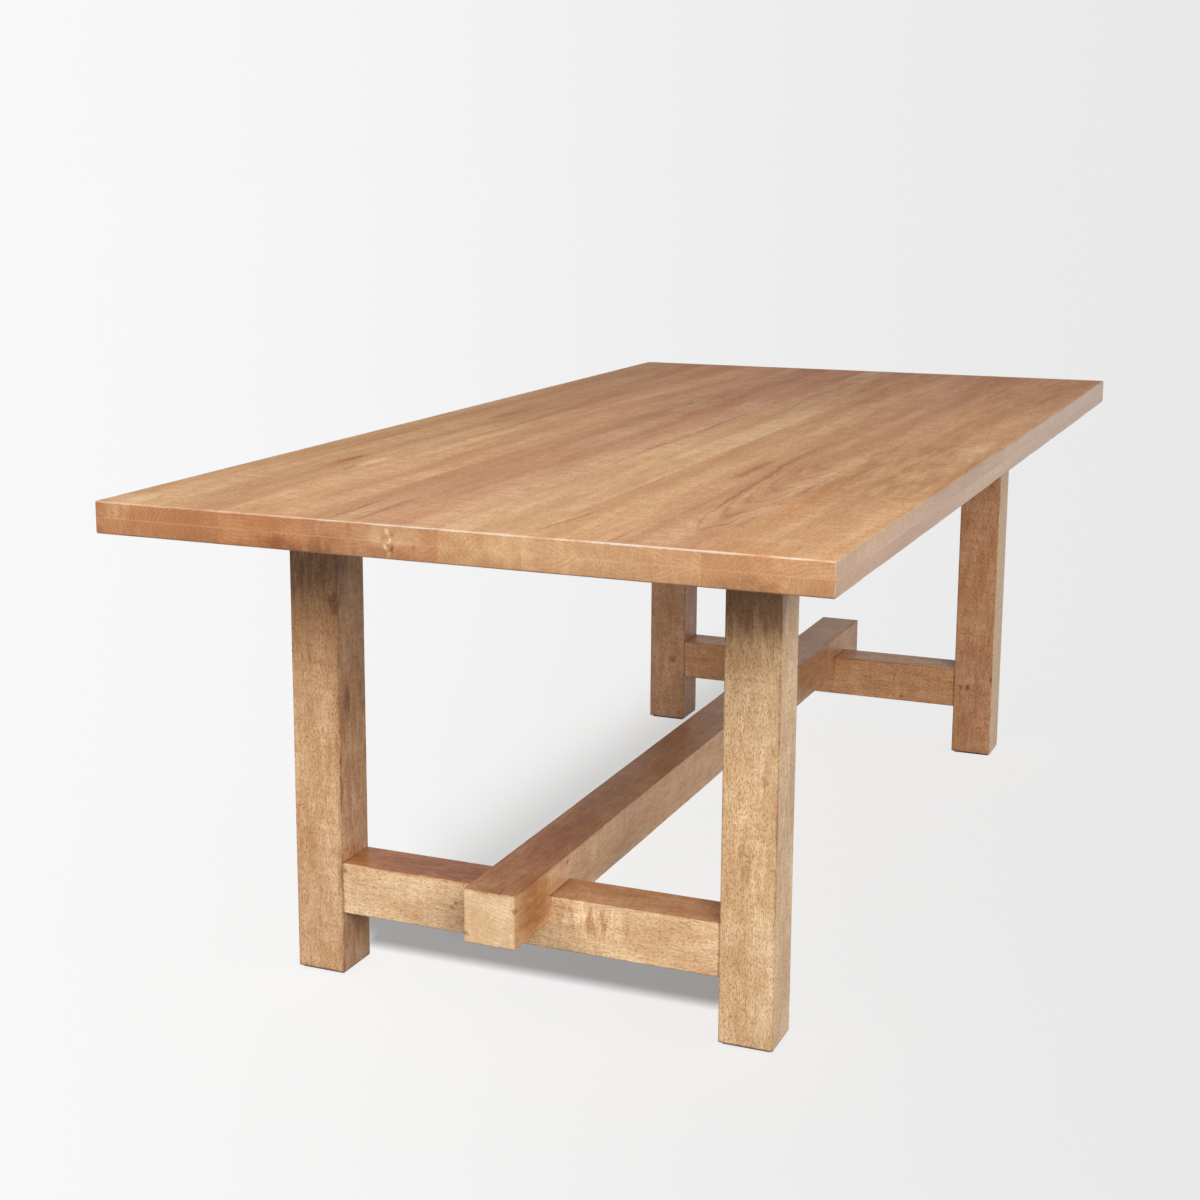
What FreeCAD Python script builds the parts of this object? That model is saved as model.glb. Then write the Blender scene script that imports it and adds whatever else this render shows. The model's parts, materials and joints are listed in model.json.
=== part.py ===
import FreeCAD, Part
import os
import Sketcher

# Trestle dining table. X runs along the table, Y across it from the front (-Y) to the rear (+Y), Z up.
# The origin is on the floor under the middle of the top. All lengths are millimetres.
# Left is the -X end and right the +X end.

SIZES = {
    # The whole table
    "table_length": 2150,
    "table_width": 1050,
    "table_height": 762,
    # Top boards, from the rear to the front. The last board takes the rest of the width.
    "plank_thickness": 23,
    "plank_1_share": 0.063,
    "plank_2_share": 0.127,
    "plank_3_share": 0.124,
    "plank_4_share": 0.190,
    "plank_5_share": 0.111,
    "plank_6_share": 0.106,
    "plank_7_share": 0.120,
    # Doubled edge under the rim of the top
    "edge_depth": 23,
    "edge_strip_width": 58,
    "end_block_length": 60,
    # Splines in the seams between the boards
    "spline_thickness": 5,
    "spline_width": 16,
    "spline_end_margin": 90,
    "spline_clearance": 0.2,
    # Rounded edges
    "top_edge_radius": 2.5,
    "frame_edge_radius": 2,
    # Trestles
    "leg_width": 80,
    "leg_depth": 80,
    "leg_side_inset": 145,
    "leg_end_inset": 270,
    "bearer_height": 70,
    "crossbar_height": 80,
    "crossbar_floor_gap": 100,
    # Tenons: on the leg tops into the bearers, on the crossbar ends into the legs
    "leg_tenon_length": 45,
    "leg_tenon_width": 40,
    "leg_tenon_depth": 30,
    "crossbar_tenon_length": 50,
    "crossbar_tenon_depth": 28,
    "crossbar_tenon_height": 56,
    "tenon_clearance": 0.2,
    "mortise_end_gap": 2,
    # Stretcher, housed in the tops of the crossbars
    "stretcher_width": 80,
    "stretcher_height": 80,
    "stretcher_overhang": 115,
    "housing_depth": 40,
    "housing_clearance": 0.25,
    # Batten across the middle of the top
    "batten_width": 70,
    "batten_thickness": 22,
    "batten_end_inset": 75,
    # Foot pads
    "pad_thickness": 3,
    "pad_inset": 5,
    # Bolts, washers and threaded inserts
    "bolt_diameter": 8,
    "bolt_head_diameter": 13,
    "bolt_head_height": 8,
    "bolt_socket_radius": 3.4,
    "bolt_socket_depth": 4,
    "bolt_tip_gap": 1,
    "bolt_hole_clearance": 1.5,
    "washer_diameter": 22,
    "washer_thickness": 1.6,
    "washer_clearance": 0.3,
    "counterbore_clearance": 1.5,
    "insert_diameter": 12,
    "insert_length": 15,
    "insert_clearance": 0.15,
    "thread_clearance": 0.15,
    "top_bolt_grip": 36,
    "stretcher_bolt_grip": 26,
    # Places of the stretcher bolts across the stretcher, from its middle
    "stretcher_bolt_share": 0.25,
    # Wood screws
    "batten_screw_diameter": 5,
    "batten_screw_head_diameter": 10,
    "batten_screw_head_height": 3,
    "batten_screw_length": 36,
    "pad_screw_diameter": 3.5,
    "pad_screw_head_diameter": 8,
    "pad_screw_head_height": 2.2,
    "pad_screw_length": 22,
    "screw_head_recess": 0.4,
    "screw_tip_share": 0.3,
    "screw_clearance": 0.15,
}

PLANK_COUNT = 8

# Places of the top bolts and of the batten screws across the boards that they take into, from the front
# seam of each board. The first board is held by the edge strip alone.
TOP_BOLT_SHARES = {4: (0.25, 0.75), 5: (0.5,), 6: (0.5,)}
BATTEN_SCREW_SHARES = {2: (0.5,), 3: (0.5,), 4: (0.5,), 5: (0.5,), 6: (0.5,), 7: (0.5,), 8: (0.75,)}

# Values worked out from the sizes above, each a formula in the sheet.
DERIVED = {
    "seam_0": "table_width / 2",
    "seam_%d" % PLANK_COUNT: "-table_width / 2",
    "half_length": "table_length / 2",
    "plank_underside": "table_height - plank_thickness",
    "top_underside": "plank_underside - edge_depth",
    "spline_length": "table_length - 2 * spline_end_margin",
    "bearer_underside": "plank_underside - bearer_height",
    "bearer_length": "table_width - 2 * leg_side_inset",
    "leg_length": "bearer_underside - pad_thickness",
    "leg_x": "half_length - leg_end_inset - leg_depth / 2",
    "leg_y": "table_width / 2 - leg_side_inset - leg_width / 2",
    "crossbar_length": "bearer_length - 2 * leg_width",
    "crossbar_top": "crossbar_floor_gap + crossbar_height",
    "crossbar_mid_height": "crossbar_floor_gap + crossbar_height / 2",
    "stretcher_underside": "crossbar_top - housing_depth",
    "stretcher_length": "table_length - 2 * leg_end_inset + 2 * stretcher_overhang",
    "top_bolt_seat": "plank_underside - top_bolt_grip",
    "stretcher_bolt_seat": "stretcher_underside - stretcher_bolt_grip",
    "stretcher_bolt_y": "stretcher_width * stretcher_bolt_share",
    "bolt_hole_radius": "bolt_diameter / 2 + bolt_hole_clearance",
    "counterbore_radius": "washer_diameter / 2 + counterbore_clearance",
    "insert_hole_radius": "insert_diameter / 2 + insert_clearance",
    "insert_hole_depth": "insert_length + bolt_tip_gap",
    "batten_length": "table_width - 2 * batten_end_inset",
    "batten_underside": "plank_underside - batten_thickness",
    "batten_screw_start": "batten_underside + screw_head_recess",
    "batten_screw_end": "batten_screw_start + batten_screw_length",
}

# Seams between the boards, and the two rims, counted from the rear.
for seam in range(1, PLANK_COUNT):
    DERIVED["seam_%d" % seam] = "seam_%d - table_width * plank_%d_share" % (seam - 1, seam)

document = FreeCAD.newDocument("TrestleTable")
sub_parts = []


def fill_sheet():
    """Write the driving sizes and the values worked out from them into the sheet called dim."""
    sheet = document.addObject("Spreadsheet::Sheet", "dim")
    rows = [(name, str(value)) for name, value in SIZES.items()]
    rows += [(name, "=" + formula) for name, formula in DERIVED.items()]
    for number, (name, text) in enumerate(rows, start=1):
        sheet.set("A%d" % number, name)
        sheet.set("B%d" % number, text)
        sheet.setAlias("B%d" % number, name)
    document.recompute()


def bind(item, expressions):
    """Tie properties of a document object to expressions of the sheet."""
    for path, expression in expressions.items():
        item.setExpression(path, expression)


def place(item, x="0", y="0", z="0"):
    """Tie the place of a document object to expressions of the sheet."""
    bind(item, {"Placement.Base.x": x, "Placement.Base.y": y, "Placement.Base.z": z})


def new_body(label):
    """Start a piece that is built up from features, and count it among the sub-parts."""
    body = document.addObject("PartDesign::Body", label)
    body.Label = label
    sub_parts.append(body)
    return body


def level_sketch(body, name, z):
    """Put an empty sketch in a body, level and at height z."""
    sketch = body.newObject("Sketcher::SketchObject", name)
    level_plane = next(part for part in body.Origin.OriginFeatures if part.Role == "XY_Plane")
    sketch.AttachmentSupport = [(level_plane, "")]
    sketch.MapMode = "FlatFace"
    sketch.setExpression("AttachmentOffset.Base.z", z)
    return sketch


def tie_point(sketch, geometry, point, x, y):
    """Hold a point of a sketch at x and y from the origin of its body."""
    for kind, expression in (("DistanceX", x), ("DistanceY", y)):
        index = sketch.addConstraint(Sketcher.Constraint(kind, -1, 1, geometry, point, 0))
        sketch.setExpression("Constraints[%d]" % index, expression)


def rectangle_sketch(body, name, x, y, z):
    """Draw a level rectangle that spans x and y, each a low and a high expression, at height z."""
    sketch = level_sketch(body, name, z)
    corners = [FreeCAD.Vector(cx, cy, 0) for cx, cy in ((0, 0), (1, 0), (1, 1), (0, 1))]
    for index, corner in enumerate(corners):
        sketch.addGeometry(Part.LineSegment(corner, corners[(index + 1) % len(corners)]), False)
    for index in range(len(corners)):
        following = (index + 1) % len(corners)
        sketch.addConstraint(Sketcher.Constraint("Coincident", index, 2, following, 1))
        direction = "Vertical" if index % 2 else "Horizontal"
        sketch.addConstraint(Sketcher.Constraint(direction, index))
    tie_point(sketch, 0, 1, x[0], y[0])
    tie_point(sketch, 2, 1, x[1], y[1])
    return sketch


def add_block(body, name, x, y, z):
    """Add a rectangular block between the low and high expressions of x, y and z."""
    outline = rectangle_sketch(body, name + "_outline", x, y, z[0])
    pad = body.newObject("PartDesign::Pad", name)
    pad.Profile = outline
    pad.setExpression("Length", "%s - (%s)" % (z[1], z[0]))


def cut_block(body, name, x, y, z):
    """Cut away a rectangular block between the low and high expressions of x, y and z."""
    outline = rectangle_sketch(body, name + "_outline", x, y, z[0])
    pocket = body.newObject("PartDesign::Pocket", name)
    pocket.Profile = outline
    pocket.Reversed = True
    pocket.setExpression("Length", "%s - (%s)" % (z[1], z[0]))


def circle_sketch(body, name, places, radius, z):
    """Draw level circles of one radius at places, each an x and a y expression, at height z."""
    sketch = level_sketch(body, name, z)
    for x, y in places:
        circle = sketch.addGeometry(Part.Circle(FreeCAD.Vector(), FreeCAD.Vector(0, 0, 1), 1), False)
        index = sketch.addConstraint(Sketcher.Constraint("Radius", circle, 1))
        sketch.setExpression("Constraints[%d]" % index, radius)
        tie_point(sketch, circle, 3, x, y)
    return sketch


def drill(body, name, places, radius, z):
    """Drill round holes upwards between the low and high expressions of z."""
    circles = circle_sketch(body, name + "_circles", places, radius, z[0])
    pocket = body.newObject("PartDesign::Pocket", name)
    pocket.Profile = circles
    pocket.Reversed = True
    pocket.setExpression("Length", "%s - (%s)" % (z[1], z[0]))


def drill_countersunk(body, name, places, screw):
    """Drill right through from the underside, with a countersink for the head of the named screw."""
    circles = circle_sketch(body, name + "_circles", places, "dim.%s_diameter / 2" % screw, "0")
    document.recompute()
    hole = body.newObject("PartDesign::Hole", name)
    hole.Profile = circles
    document.recompute()
    hole.Reversed = True
    hole.DepthType = "ThroughAll"
    hole.HoleCutType = "Countersink"
    hole.HoleCutCustomValues = True
    head_run = "dim.%s_head_diameter / 2 - dim.%s_diameter / 2" % (screw, screw)
    slope = "(%s) / dim.%s_head_height" % (head_run, screw)
    head_margin = "dim.screw_clearance + dim.screw_head_recess * %s" % slope
    bind(hole, {
        "Diameter": "dim.%s_diameter + 2 * dim.screw_clearance" % screw,
        "HoleCutDiameter": "dim.%s_head_diameter + 2 * (%s)" % (screw, head_margin),
        "HoleCutCountersinkAngle": "2 * atan(%s)" % slope,
    })


def round_edges(body, name, radius, wanted):
    """Round the edges of a body whose middle point and direction the test called wanted accepts."""
    document.recompute()
    base = body.Tip
    edges = []
    for number, edge in enumerate(base.Shape.Edges, start=1):
        start = edge.Vertexes[0].Point
        end = edge.Vertexes[-1].Point
        if wanted((start + end) / 2, end - start, base.Shape.BoundBox):
            edges.append("Edge%d" % number)
    fillet = body.newObject("PartDesign::Fillet", name)
    fillet.Base = (base, edges)
    fillet.setExpression("Radius", radius)


def along(direction, axis):
    """True where an edge runs along the axis, 0 for X, 1 for Y and 2 for Z."""
    return abs(direction[axis]) > direction.Length / 2


def half_span(expression):
    """The low and high expressions of a length that is centred on zero."""
    return "-(%s) / 2" % expression, "(%s) / 2" % expression


def solid(kind, name, expressions, x, y, z):
    """A primitive solid tied to the sheet, standing at x, y and z."""
    item = document.addObject(kind, name)
    bind(item, expressions)
    place(item, x, y, z)
    return item


def rod(name, radius, height, x, y, z):
    """An upright round rod that stands on z."""
    return solid("Part::Cylinder", name, {"Radius": radius, "Height": height}, x, y, z)


def taper(name, low_radius, high_radius, height, x, y, z):
    """An upright round taper that stands on z."""
    sizes = {"Radius1": low_radius, "Radius2": high_radius, "Height": height}
    return solid("Part::Cone", name, sizes, x, y, z)


def cut(name, base, tool):
    """One solid less another."""
    item = document.addObject("Part::Cut", name)
    item.Base = base
    item.Tool = tool
    return item


def fuse(name, shapes):
    """Several solids joined in one."""
    item = document.addObject("Part::MultiFuse", name)
    item.Shapes = shapes
    return item


def group(label, items):
    """Keep like fasteners as separate solids of one sub-part."""
    compound = document.addObject("Part::Compound", label)
    compound.Label = label
    compound.Links = items
    sub_parts.append(compound)


def tube(name, outer_radius, inner_radius, height, x, y, z):
    """A round ring or sleeve that stands on z."""
    outside = rod(name + "_outside", outer_radius, height, x, y, z)
    bore = rod(name + "_bore", inner_radius, height, x, y, z)
    return cut(name, outside, bore)


def socket_bolt(name, length, x, y, z):
    """A socket-head bolt, head down, with the underside of its head on z."""
    head_bottom = "%s - dim.bolt_head_height" % z
    head = rod(name + "_head", "dim.bolt_head_diameter / 2", "dim.bolt_head_height", x, y, head_bottom)
    shank = rod(name + "_shank", "dim.bolt_diameter / 2", length, x, y, z)
    socket_sizes = {"Circumradius": "dim.bolt_socket_radius", "Height": "dim.bolt_socket_depth"}
    socket = solid("Part::Prism", name + "_socket", socket_sizes, x, y, head_bottom)
    return cut(name, fuse(name + "_blank", [head, shank]), socket)


def wood_screw(name, screw, x, y, z):
    """A countersunk wood screw, head down, with the flat of its head on z."""
    radius = "dim.%s_diameter / 2" % screw
    head_height = "dim.%s_head_height" % screw
    tip_length = "dim.%s_length * dim.screw_tip_share" % screw
    shank_length = "dim.%s_length - %s - %s" % (screw, head_height, tip_length)
    shank_start = "%s + %s" % (z, head_height)
    tip_start = "%s + %s" % (shank_start, shank_length)
    head = taper(name + "_head", "dim.%s_head_diameter / 2" % screw, radius, head_height, x, y, z)
    shank = rod(name + "_shank", radius, shank_length, x, y, shank_start)
    tip = taper(name + "_tip", radius, "0", tip_length, x, y, tip_start)
    return fuse(name, [head, shank, tip])


def plank_middle(number):
    """Place of the middle of a top board across the table."""
    return "(dim.seam_%d + dim.seam_%d) / 2" % (number - 1, number)


def plank_width(number):
    """Width of a top board."""
    return "(dim.seam_%d - dim.seam_%d)" % (number - 1, number)


def places_across(shares):
    """Places across the table of fasteners, from a table of boards and shares of their widths."""
    return ["dim.seam_%d + %s * %g" % (number, plank_width(number), share)
            for number in shares for share in shares[number]]


def places_in_plank(shares, number):
    """Places of the fasteners in one board, from the middle of that board."""
    own_shares = {number: shares.get(number, ())}
    return ["%s - %s" % (y, plank_middle(number)) for y in places_across(own_shares)]


def outer_side(number):
    """Which long side of a top board is the rim of the table: 1 rear, -1 front, 0 neither."""
    return (number == 1) - (number == PLANK_COUNT)


def make_planks():
    """The top boards, with rounded rims, spline grooves and holes in the underside."""
    for number in range(1, PLANK_COUNT + 1):
        body = new_body("plank_%d" % number)
        place(body, y=plank_middle(number), z="dim.plank_underside")
        half_width = plank_width(number) + " / 2"
        add_block(body, "board", half_span("dim.table_length"), half_span(plank_width(number)),
                  ("0", "dim.plank_thickness"))
        rim = outer_side(number)

        def is_rim(middle, direction, box):
            on_top = middle.z > box.ZMax - box.ZLength / 4
            on_rim = middle.y * rim > box.YLength / 4
            if along(direction, 1):
                return on_top
            if along(direction, 0):
                return on_top and on_rim
            return on_rim

        round_edges(body, "rim", "dim.top_edge_radius", is_rim)
        groove_length = half_span("dim.spline_length + 2 * dim.spline_clearance")
        groove_reach = "dim.spline_width / 2 + dim.spline_clearance"
        groove_height = half_span("dim.spline_thickness + 2 * dim.spline_clearance")
        groove_z = ["dim.plank_thickness / 2 + %s" % level for level in groove_height]
        if number > 1:
            cut_block(body, "rear_groove", groove_length,
                      ("%s - (%s)" % (half_width, groove_reach), half_width), groove_z)
        if number < PLANK_COUNT:
            cut_block(body, "front_groove", groove_length,
                      ("-%s" % half_width, "-%s + %s" % (half_width, groove_reach)), groove_z)
        insert_places = [(side + "dim.leg_x", y) for side in ("-", "")
                         for y in places_in_plank(TOP_BOLT_SHARES, number)]
        if insert_places:
            drill(body, "insert_holes", insert_places, "dim.insert_hole_radius",
                  ("0", "dim.insert_hole_depth"))
        screw_places = [("0", y) for y in places_in_plank(BATTEN_SCREW_SHARES, number)]
        if screw_places:
            pilot_radius = "dim.batten_screw_diameter / 2 + dim.screw_clearance"
            pilot_depth = "dim.batten_screw_end - dim.plank_underside + dim.screw_clearance"
            drill(body, "screw_hole", screw_places, pilot_radius, ("0", pilot_depth))


def make_splines():
    """Loose tongues that line up the boards of the top along their seams."""
    for number in range(1, PLANK_COUNT):
        body = new_body("spline_%d" % number)
        place(body, y="dim.seam_%d" % number, z="dim.plank_underside + dim.plank_thickness / 2")
        add_block(body, "tongue", half_span("dim.spline_length"), half_span("dim.spline_width"),
                  half_span("dim.spline_thickness"))


def make_edge_strips():
    """Long strips that double the thickness of the two long rims."""
    for label, side in (("edge_strip_rear", 1), ("edge_strip_front", -1)):
        body = new_body(label)
        place(body, y="%d * (dim.table_width - dim.edge_strip_width) / 2" % side, z="dim.top_underside")
        add_block(body, "strip", half_span("dim.table_length"), half_span("dim.edge_strip_width"),
                  ("0", "dim.edge_depth"))

        def is_rim(middle, direction, box):
            below = middle.z < box.ZMin + box.ZLength / 4
            on_rim = middle.y * side > box.YLength / 4
            if along(direction, 1):
                return below
            if along(direction, 0):
                return below and on_rim
            return on_rim

        round_edges(body, "rim", "dim.top_edge_radius", is_rim)


def make_end_blocks():
    """Short blocks that double the thickness of the two end rims between the edge strips.

    They are cut at the seams of the boards, and the first one lies under the first two boards.
    """
    cuts = ["dim.seam_0 - dim.edge_strip_width"]
    cuts += ["dim.seam_%d" % number for number in range(2, PLANK_COUNT)]
    cuts += ["dim.seam_%d + dim.edge_strip_width" % PLANK_COUNT]
    for end, side in (("left", -1), ("right", 1)):
        for number, (rear, front) in enumerate(zip(cuts, cuts[1:]), start=1):
            body = new_body("end_block_%s_%d" % (end, number))
            place(body, "%d * (dim.table_length - dim.end_block_length) / 2" % side, "0", "dim.top_underside")
            add_block(body, "block", half_span("dim.end_block_length"), (front, rear),
                      ("0", "dim.edge_depth"))

            def is_rim(middle, direction, box):
                below = middle.z < box.ZMin + box.ZLength / 4
                outside = middle.x * side > box.Center.x * side + box.XLength / 4
                return along(direction, 1) and below and outside

            round_edges(body, "rim", "dim.top_edge_radius", is_rim)


def make_legs():
    """The four legs, each with a tenon on top and a mortise for the crossbar in its inner face."""
    for end, end_side in (("left", -1), ("right", 1)):
        for row, turn, row_side in (("rear", 0, 1), ("front", 180, -1)):
            body = new_body("leg_%s_%s" % (end, row))
            body.Placement.Rotation = FreeCAD.Rotation(FreeCAD.Vector(0, 0, 1), turn)
            place(body, "%d * dim.leg_x" % end_side, "%d * dim.leg_y" % row_side, "dim.pad_thickness")
            add_block(body, "post", half_span("dim.leg_depth"), half_span("dim.leg_width"),
                      ("0", "dim.leg_length"))

            def is_arris(middle, direction, box):
                return along(direction, 2) or middle.z < box.ZMin + box.ZLength / 4

            round_edges(body, "arrises", "dim.frame_edge_radius", is_arris)
            add_block(body, "tenon", half_span("dim.leg_tenon_depth"), half_span("dim.leg_tenon_width"),
                      ("dim.leg_length", "dim.leg_length + dim.leg_tenon_length"))
            mortise_height = half_span("dim.crossbar_tenon_height + 2 * dim.tenon_clearance")
            mortise_middle = "dim.crossbar_mid_height - dim.pad_thickness"
            mortise_z = ["%s + %s" % (mortise_middle, level) for level in mortise_height]
            mortise_bottom = "-dim.leg_width / 2 + dim.crossbar_tenon_length + dim.mortise_end_gap"
            cut_block(body, "mortise", half_span("dim.crossbar_tenon_depth + 2 * dim.tenon_clearance"),
                      ("-dim.leg_width / 2", mortise_bottom), mortise_z)
            pilot_radius = "dim.pad_screw_diameter / 2 + dim.screw_clearance"
            screw_end = "dim.screw_head_recess + dim.pad_screw_length"
            pilot_depth = "%s + dim.screw_clearance - dim.pad_thickness" % screw_end
            drill(body, "screw_hole", [("0", "0")], pilot_radius, ("0", pilot_depth))


def make_bearers():
    """The bearers that cap the legs and carry the top, with counterbored bolt holes from below."""
    for end, side in (("left", -1), ("right", 1)):
        body = new_body("bearer_%s" % end)
        place(body, "%d * dim.leg_x" % side, "0", "dim.bearer_underside")
        add_block(body, "bar", half_span("dim.leg_depth"), half_span("dim.bearer_length"),
                  ("0", "dim.bearer_height"))

        def is_arris(middle, direction, box):
            return middle.z < box.ZMax - box.ZLength / 4

        round_edges(body, "arrises", "dim.frame_edge_radius", is_arris)
        mortise_width = half_span("dim.leg_tenon_width + 2 * dim.tenon_clearance")
        for row, row_side in (("rear", 1), ("front", -1)):
            mortise_y = ["%d * dim.leg_y + %s" % (row_side, level) for level in mortise_width]
            cut_block(body, row + "_mortise", half_span("dim.leg_tenon_depth + 2 * dim.tenon_clearance"),
                      mortise_y, ("0", "dim.leg_tenon_length + dim.mortise_end_gap"))
        places = [("0", y) for y in places_across(TOP_BOLT_SHARES)]
        seat = "dim.top_bolt_seat - dim.bearer_underside"
        drill(body, "counterbores", places, "dim.counterbore_radius", ("0", seat))
        drill(body, "bolt_holes", places, "dim.bolt_hole_radius", ("0", "dim.bearer_height"))


def make_crossbars():
    """The low crossbars, tenoned into the legs, with a housing for the stretcher in the top."""
    for end, side in (("left", -1), ("right", 1)):
        body = new_body("crossbar_%s" % end)
        place(body, "%d * dim.leg_x" % side, "0", "dim.crossbar_floor_gap")
        add_block(body, "bar", half_span("dim.leg_depth"), half_span("dim.crossbar_length"),
                  ("0", "dim.crossbar_height"))

        def is_arris(middle, direction, box):
            return along(direction, 1)

        round_edges(body, "arrises", "dim.frame_edge_radius", is_arris)
        tenon_z = ["dim.crossbar_height / 2 + %s" % level for level in half_span("dim.crossbar_tenon_height")]
        shoulder = "dim.crossbar_length / 2"
        tenon_end = "%s + dim.crossbar_tenon_length" % shoulder
        add_block(body, "rear_tenon", half_span("dim.crossbar_tenon_depth"), (shoulder, tenon_end), tenon_z)
        add_block(body, "front_tenon", half_span("dim.crossbar_tenon_depth"),
                  ("-(%s)" % tenon_end, "-%s" % shoulder), tenon_z)
        cut_block(body, "housing", half_span("dim.leg_depth"),
                  half_span("dim.stretcher_width + 2 * dim.housing_clearance"),
                  ("dim.crossbar_height - dim.housing_depth", "dim.crossbar_height"))
        places = [("0", row + "dim.stretcher_bolt_y") for row in ("-", "")]
        seat = "dim.stretcher_bolt_seat - dim.crossbar_floor_gap"
        drill(body, "counterbores", places, "dim.counterbore_radius", ("0", seat))
        drill(body, "bolt_holes", places, "dim.bolt_hole_radius", ("0", "dim.crossbar_height"))


def stretcher_bolt_places():
    """Places of the bolts that hold the stretcher, two under each crossbar."""
    return [(end + "dim.leg_x", row + "dim.stretcher_bolt_y") for end in ("-", "") for row in ("-", "")]


def make_stretcher():
    """The stretcher along the table, with holes for threaded inserts in its underside."""
    body = new_body("stretcher")
    place(body, z="dim.stretcher_underside")
    add_block(body, "beam", half_span("dim.stretcher_length"), half_span("dim.stretcher_width"),
              ("0", "dim.stretcher_height"))

    def is_arris(middle, direction, box):
        return True

    round_edges(body, "arrises", "dim.frame_edge_radius", is_arris)
    drill(body, "insert_holes", stretcher_bolt_places(), "dim.insert_hole_radius",
          ("0", "dim.insert_hole_depth"))


def make_batten():
    """The batten across the middle of the top, and the screws that hold the boards to it."""
    body = new_body("centre_batten")
    place(body, z="dim.batten_underside")
    add_block(body, "bar", half_span("dim.batten_width"), half_span("dim.batten_length"),
              ("0", "dim.batten_thickness"))

    def is_arris(middle, direction, box):
        return middle.z < box.ZMax - box.ZLength / 4

    round_edges(body, "arrises", "dim.frame_edge_radius", is_arris)
    places = [("0", y) for y in places_across(BATTEN_SCREW_SHARES)]
    drill_countersunk(body, "screw_holes", places, "batten_screw")
    screws = [wood_screw("batten_screw_%d" % index, "batten_screw", x, y, "dim.batten_screw_start")
              for index, (x, y) in enumerate(places, start=1)]
    group("batten_screws", screws)


def make_foot_pads():
    """A thin pad under each leg, and the screws that hold the pads."""
    screws = []
    for end, end_side in (("left", -1), ("right", 1)):
        for row, row_side in (("rear", 1), ("front", -1)):
            body = new_body("foot_pad_%s_%s" % (end, row))
            x = "%d * dim.leg_x" % end_side
            y = "%d * dim.leg_y" % row_side
            place(body, x, y)
            add_block(body, "sheet", half_span("dim.leg_depth - 2 * dim.pad_inset"),
                      half_span("dim.leg_width - 2 * dim.pad_inset"), ("0", "dim.pad_thickness"))
            drill_countersunk(body, "screw_hole", [("0", "0")], "pad_screw")
            name = "pad_screw_%s_%s" % (end, row)
            screws.append(wood_screw(name, "pad_screw", x, y, "dim.screw_head_recess"))
    group("pad_screws", screws)


def make_bolt_set(kind, places, seat, joint):
    """Bolts with washers under their heads at seat, and the inserts that they take into above joint."""
    bolts = []
    washers = []
    inserts = []
    washer_start = "%s - dim.washer_thickness" % seat
    bolt_length = "%s + dim.insert_length - dim.bolt_tip_gap - (%s)" % (joint, washer_start)
    washer_bore = "dim.bolt_diameter / 2 + dim.washer_clearance"
    insert_bore = "dim.bolt_diameter / 2 + dim.thread_clearance"
    for index, (x, y) in enumerate(places, start=1):
        bolts.append(socket_bolt("%s_bolt_%d" % (kind, index), bolt_length, x, y, washer_start))
        washers.append(tube("%s_washer_%d" % (kind, index), "dim.washer_diameter / 2", washer_bore,
                            "dim.washer_thickness", x, y, washer_start))
        inserts.append(tube("%s_insert_%d" % (kind, index), "dim.insert_diameter / 2", insert_bore,
                            "dim.insert_length", x, y, joint))
    group("%s_bolts" % kind, bolts)
    group("%s_washers" % kind, washers)
    group("%s_inserts" % kind, inserts)


def make_bolts():
    """The bolts that hold the top on the bearers and the stretcher in the crossbars."""
    top_places = [(end + "dim.leg_x", y) for end in ("-", "") for y in places_across(TOP_BOLT_SHARES)]
    make_bolt_set("top", top_places, "dim.top_bolt_seat", "dim.plank_underside")
    make_bolt_set("stretcher", stretcher_bolt_places(), "dim.stretcher_bolt_seat", "dim.stretcher_underside")


def check_document():
    """Stop if any object failed, or any sub-part has no valid shape."""
    for item in document.Objects:
        if "Invalid" in item.State or "Error" in item.State:
            raise RuntimeError("%s failed: %s" % (item.Name, item.State))
    for item in sub_parts:
        if item.Shape.isNull() or not item.Shape.isValid():
            raise RuntimeError("%s has no valid shape" % item.Label)


def write_parts():
    """Write each sub-part to a file that has its label as name."""
    os.makedirs("parts", exist_ok=True)
    for item in sub_parts:
        item.Shape.exportStep("parts/%s.step" % item.Label)


fill_sheet()
make_planks()
make_splines()
make_edge_strips()
make_end_blocks()
make_legs()
make_bearers()
make_crossbars()
make_stretcher()
make_batten()
make_foot_pads()
make_bolts()
document.recompute()
check_document()
write_parts()
for sub_part in sub_parts:
    shape = sub_part.Shape
    print("%-24s solids %2d  volume %12.1f" % (sub_part.Label, len(shape.Solids), shape.Volume))
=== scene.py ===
import json
import math
from collections import namedtuple

import bmesh
import bpy
from bpy.props import FloatProperty, FloatVectorProperty, PointerProperty
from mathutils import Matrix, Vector, noise

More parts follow.
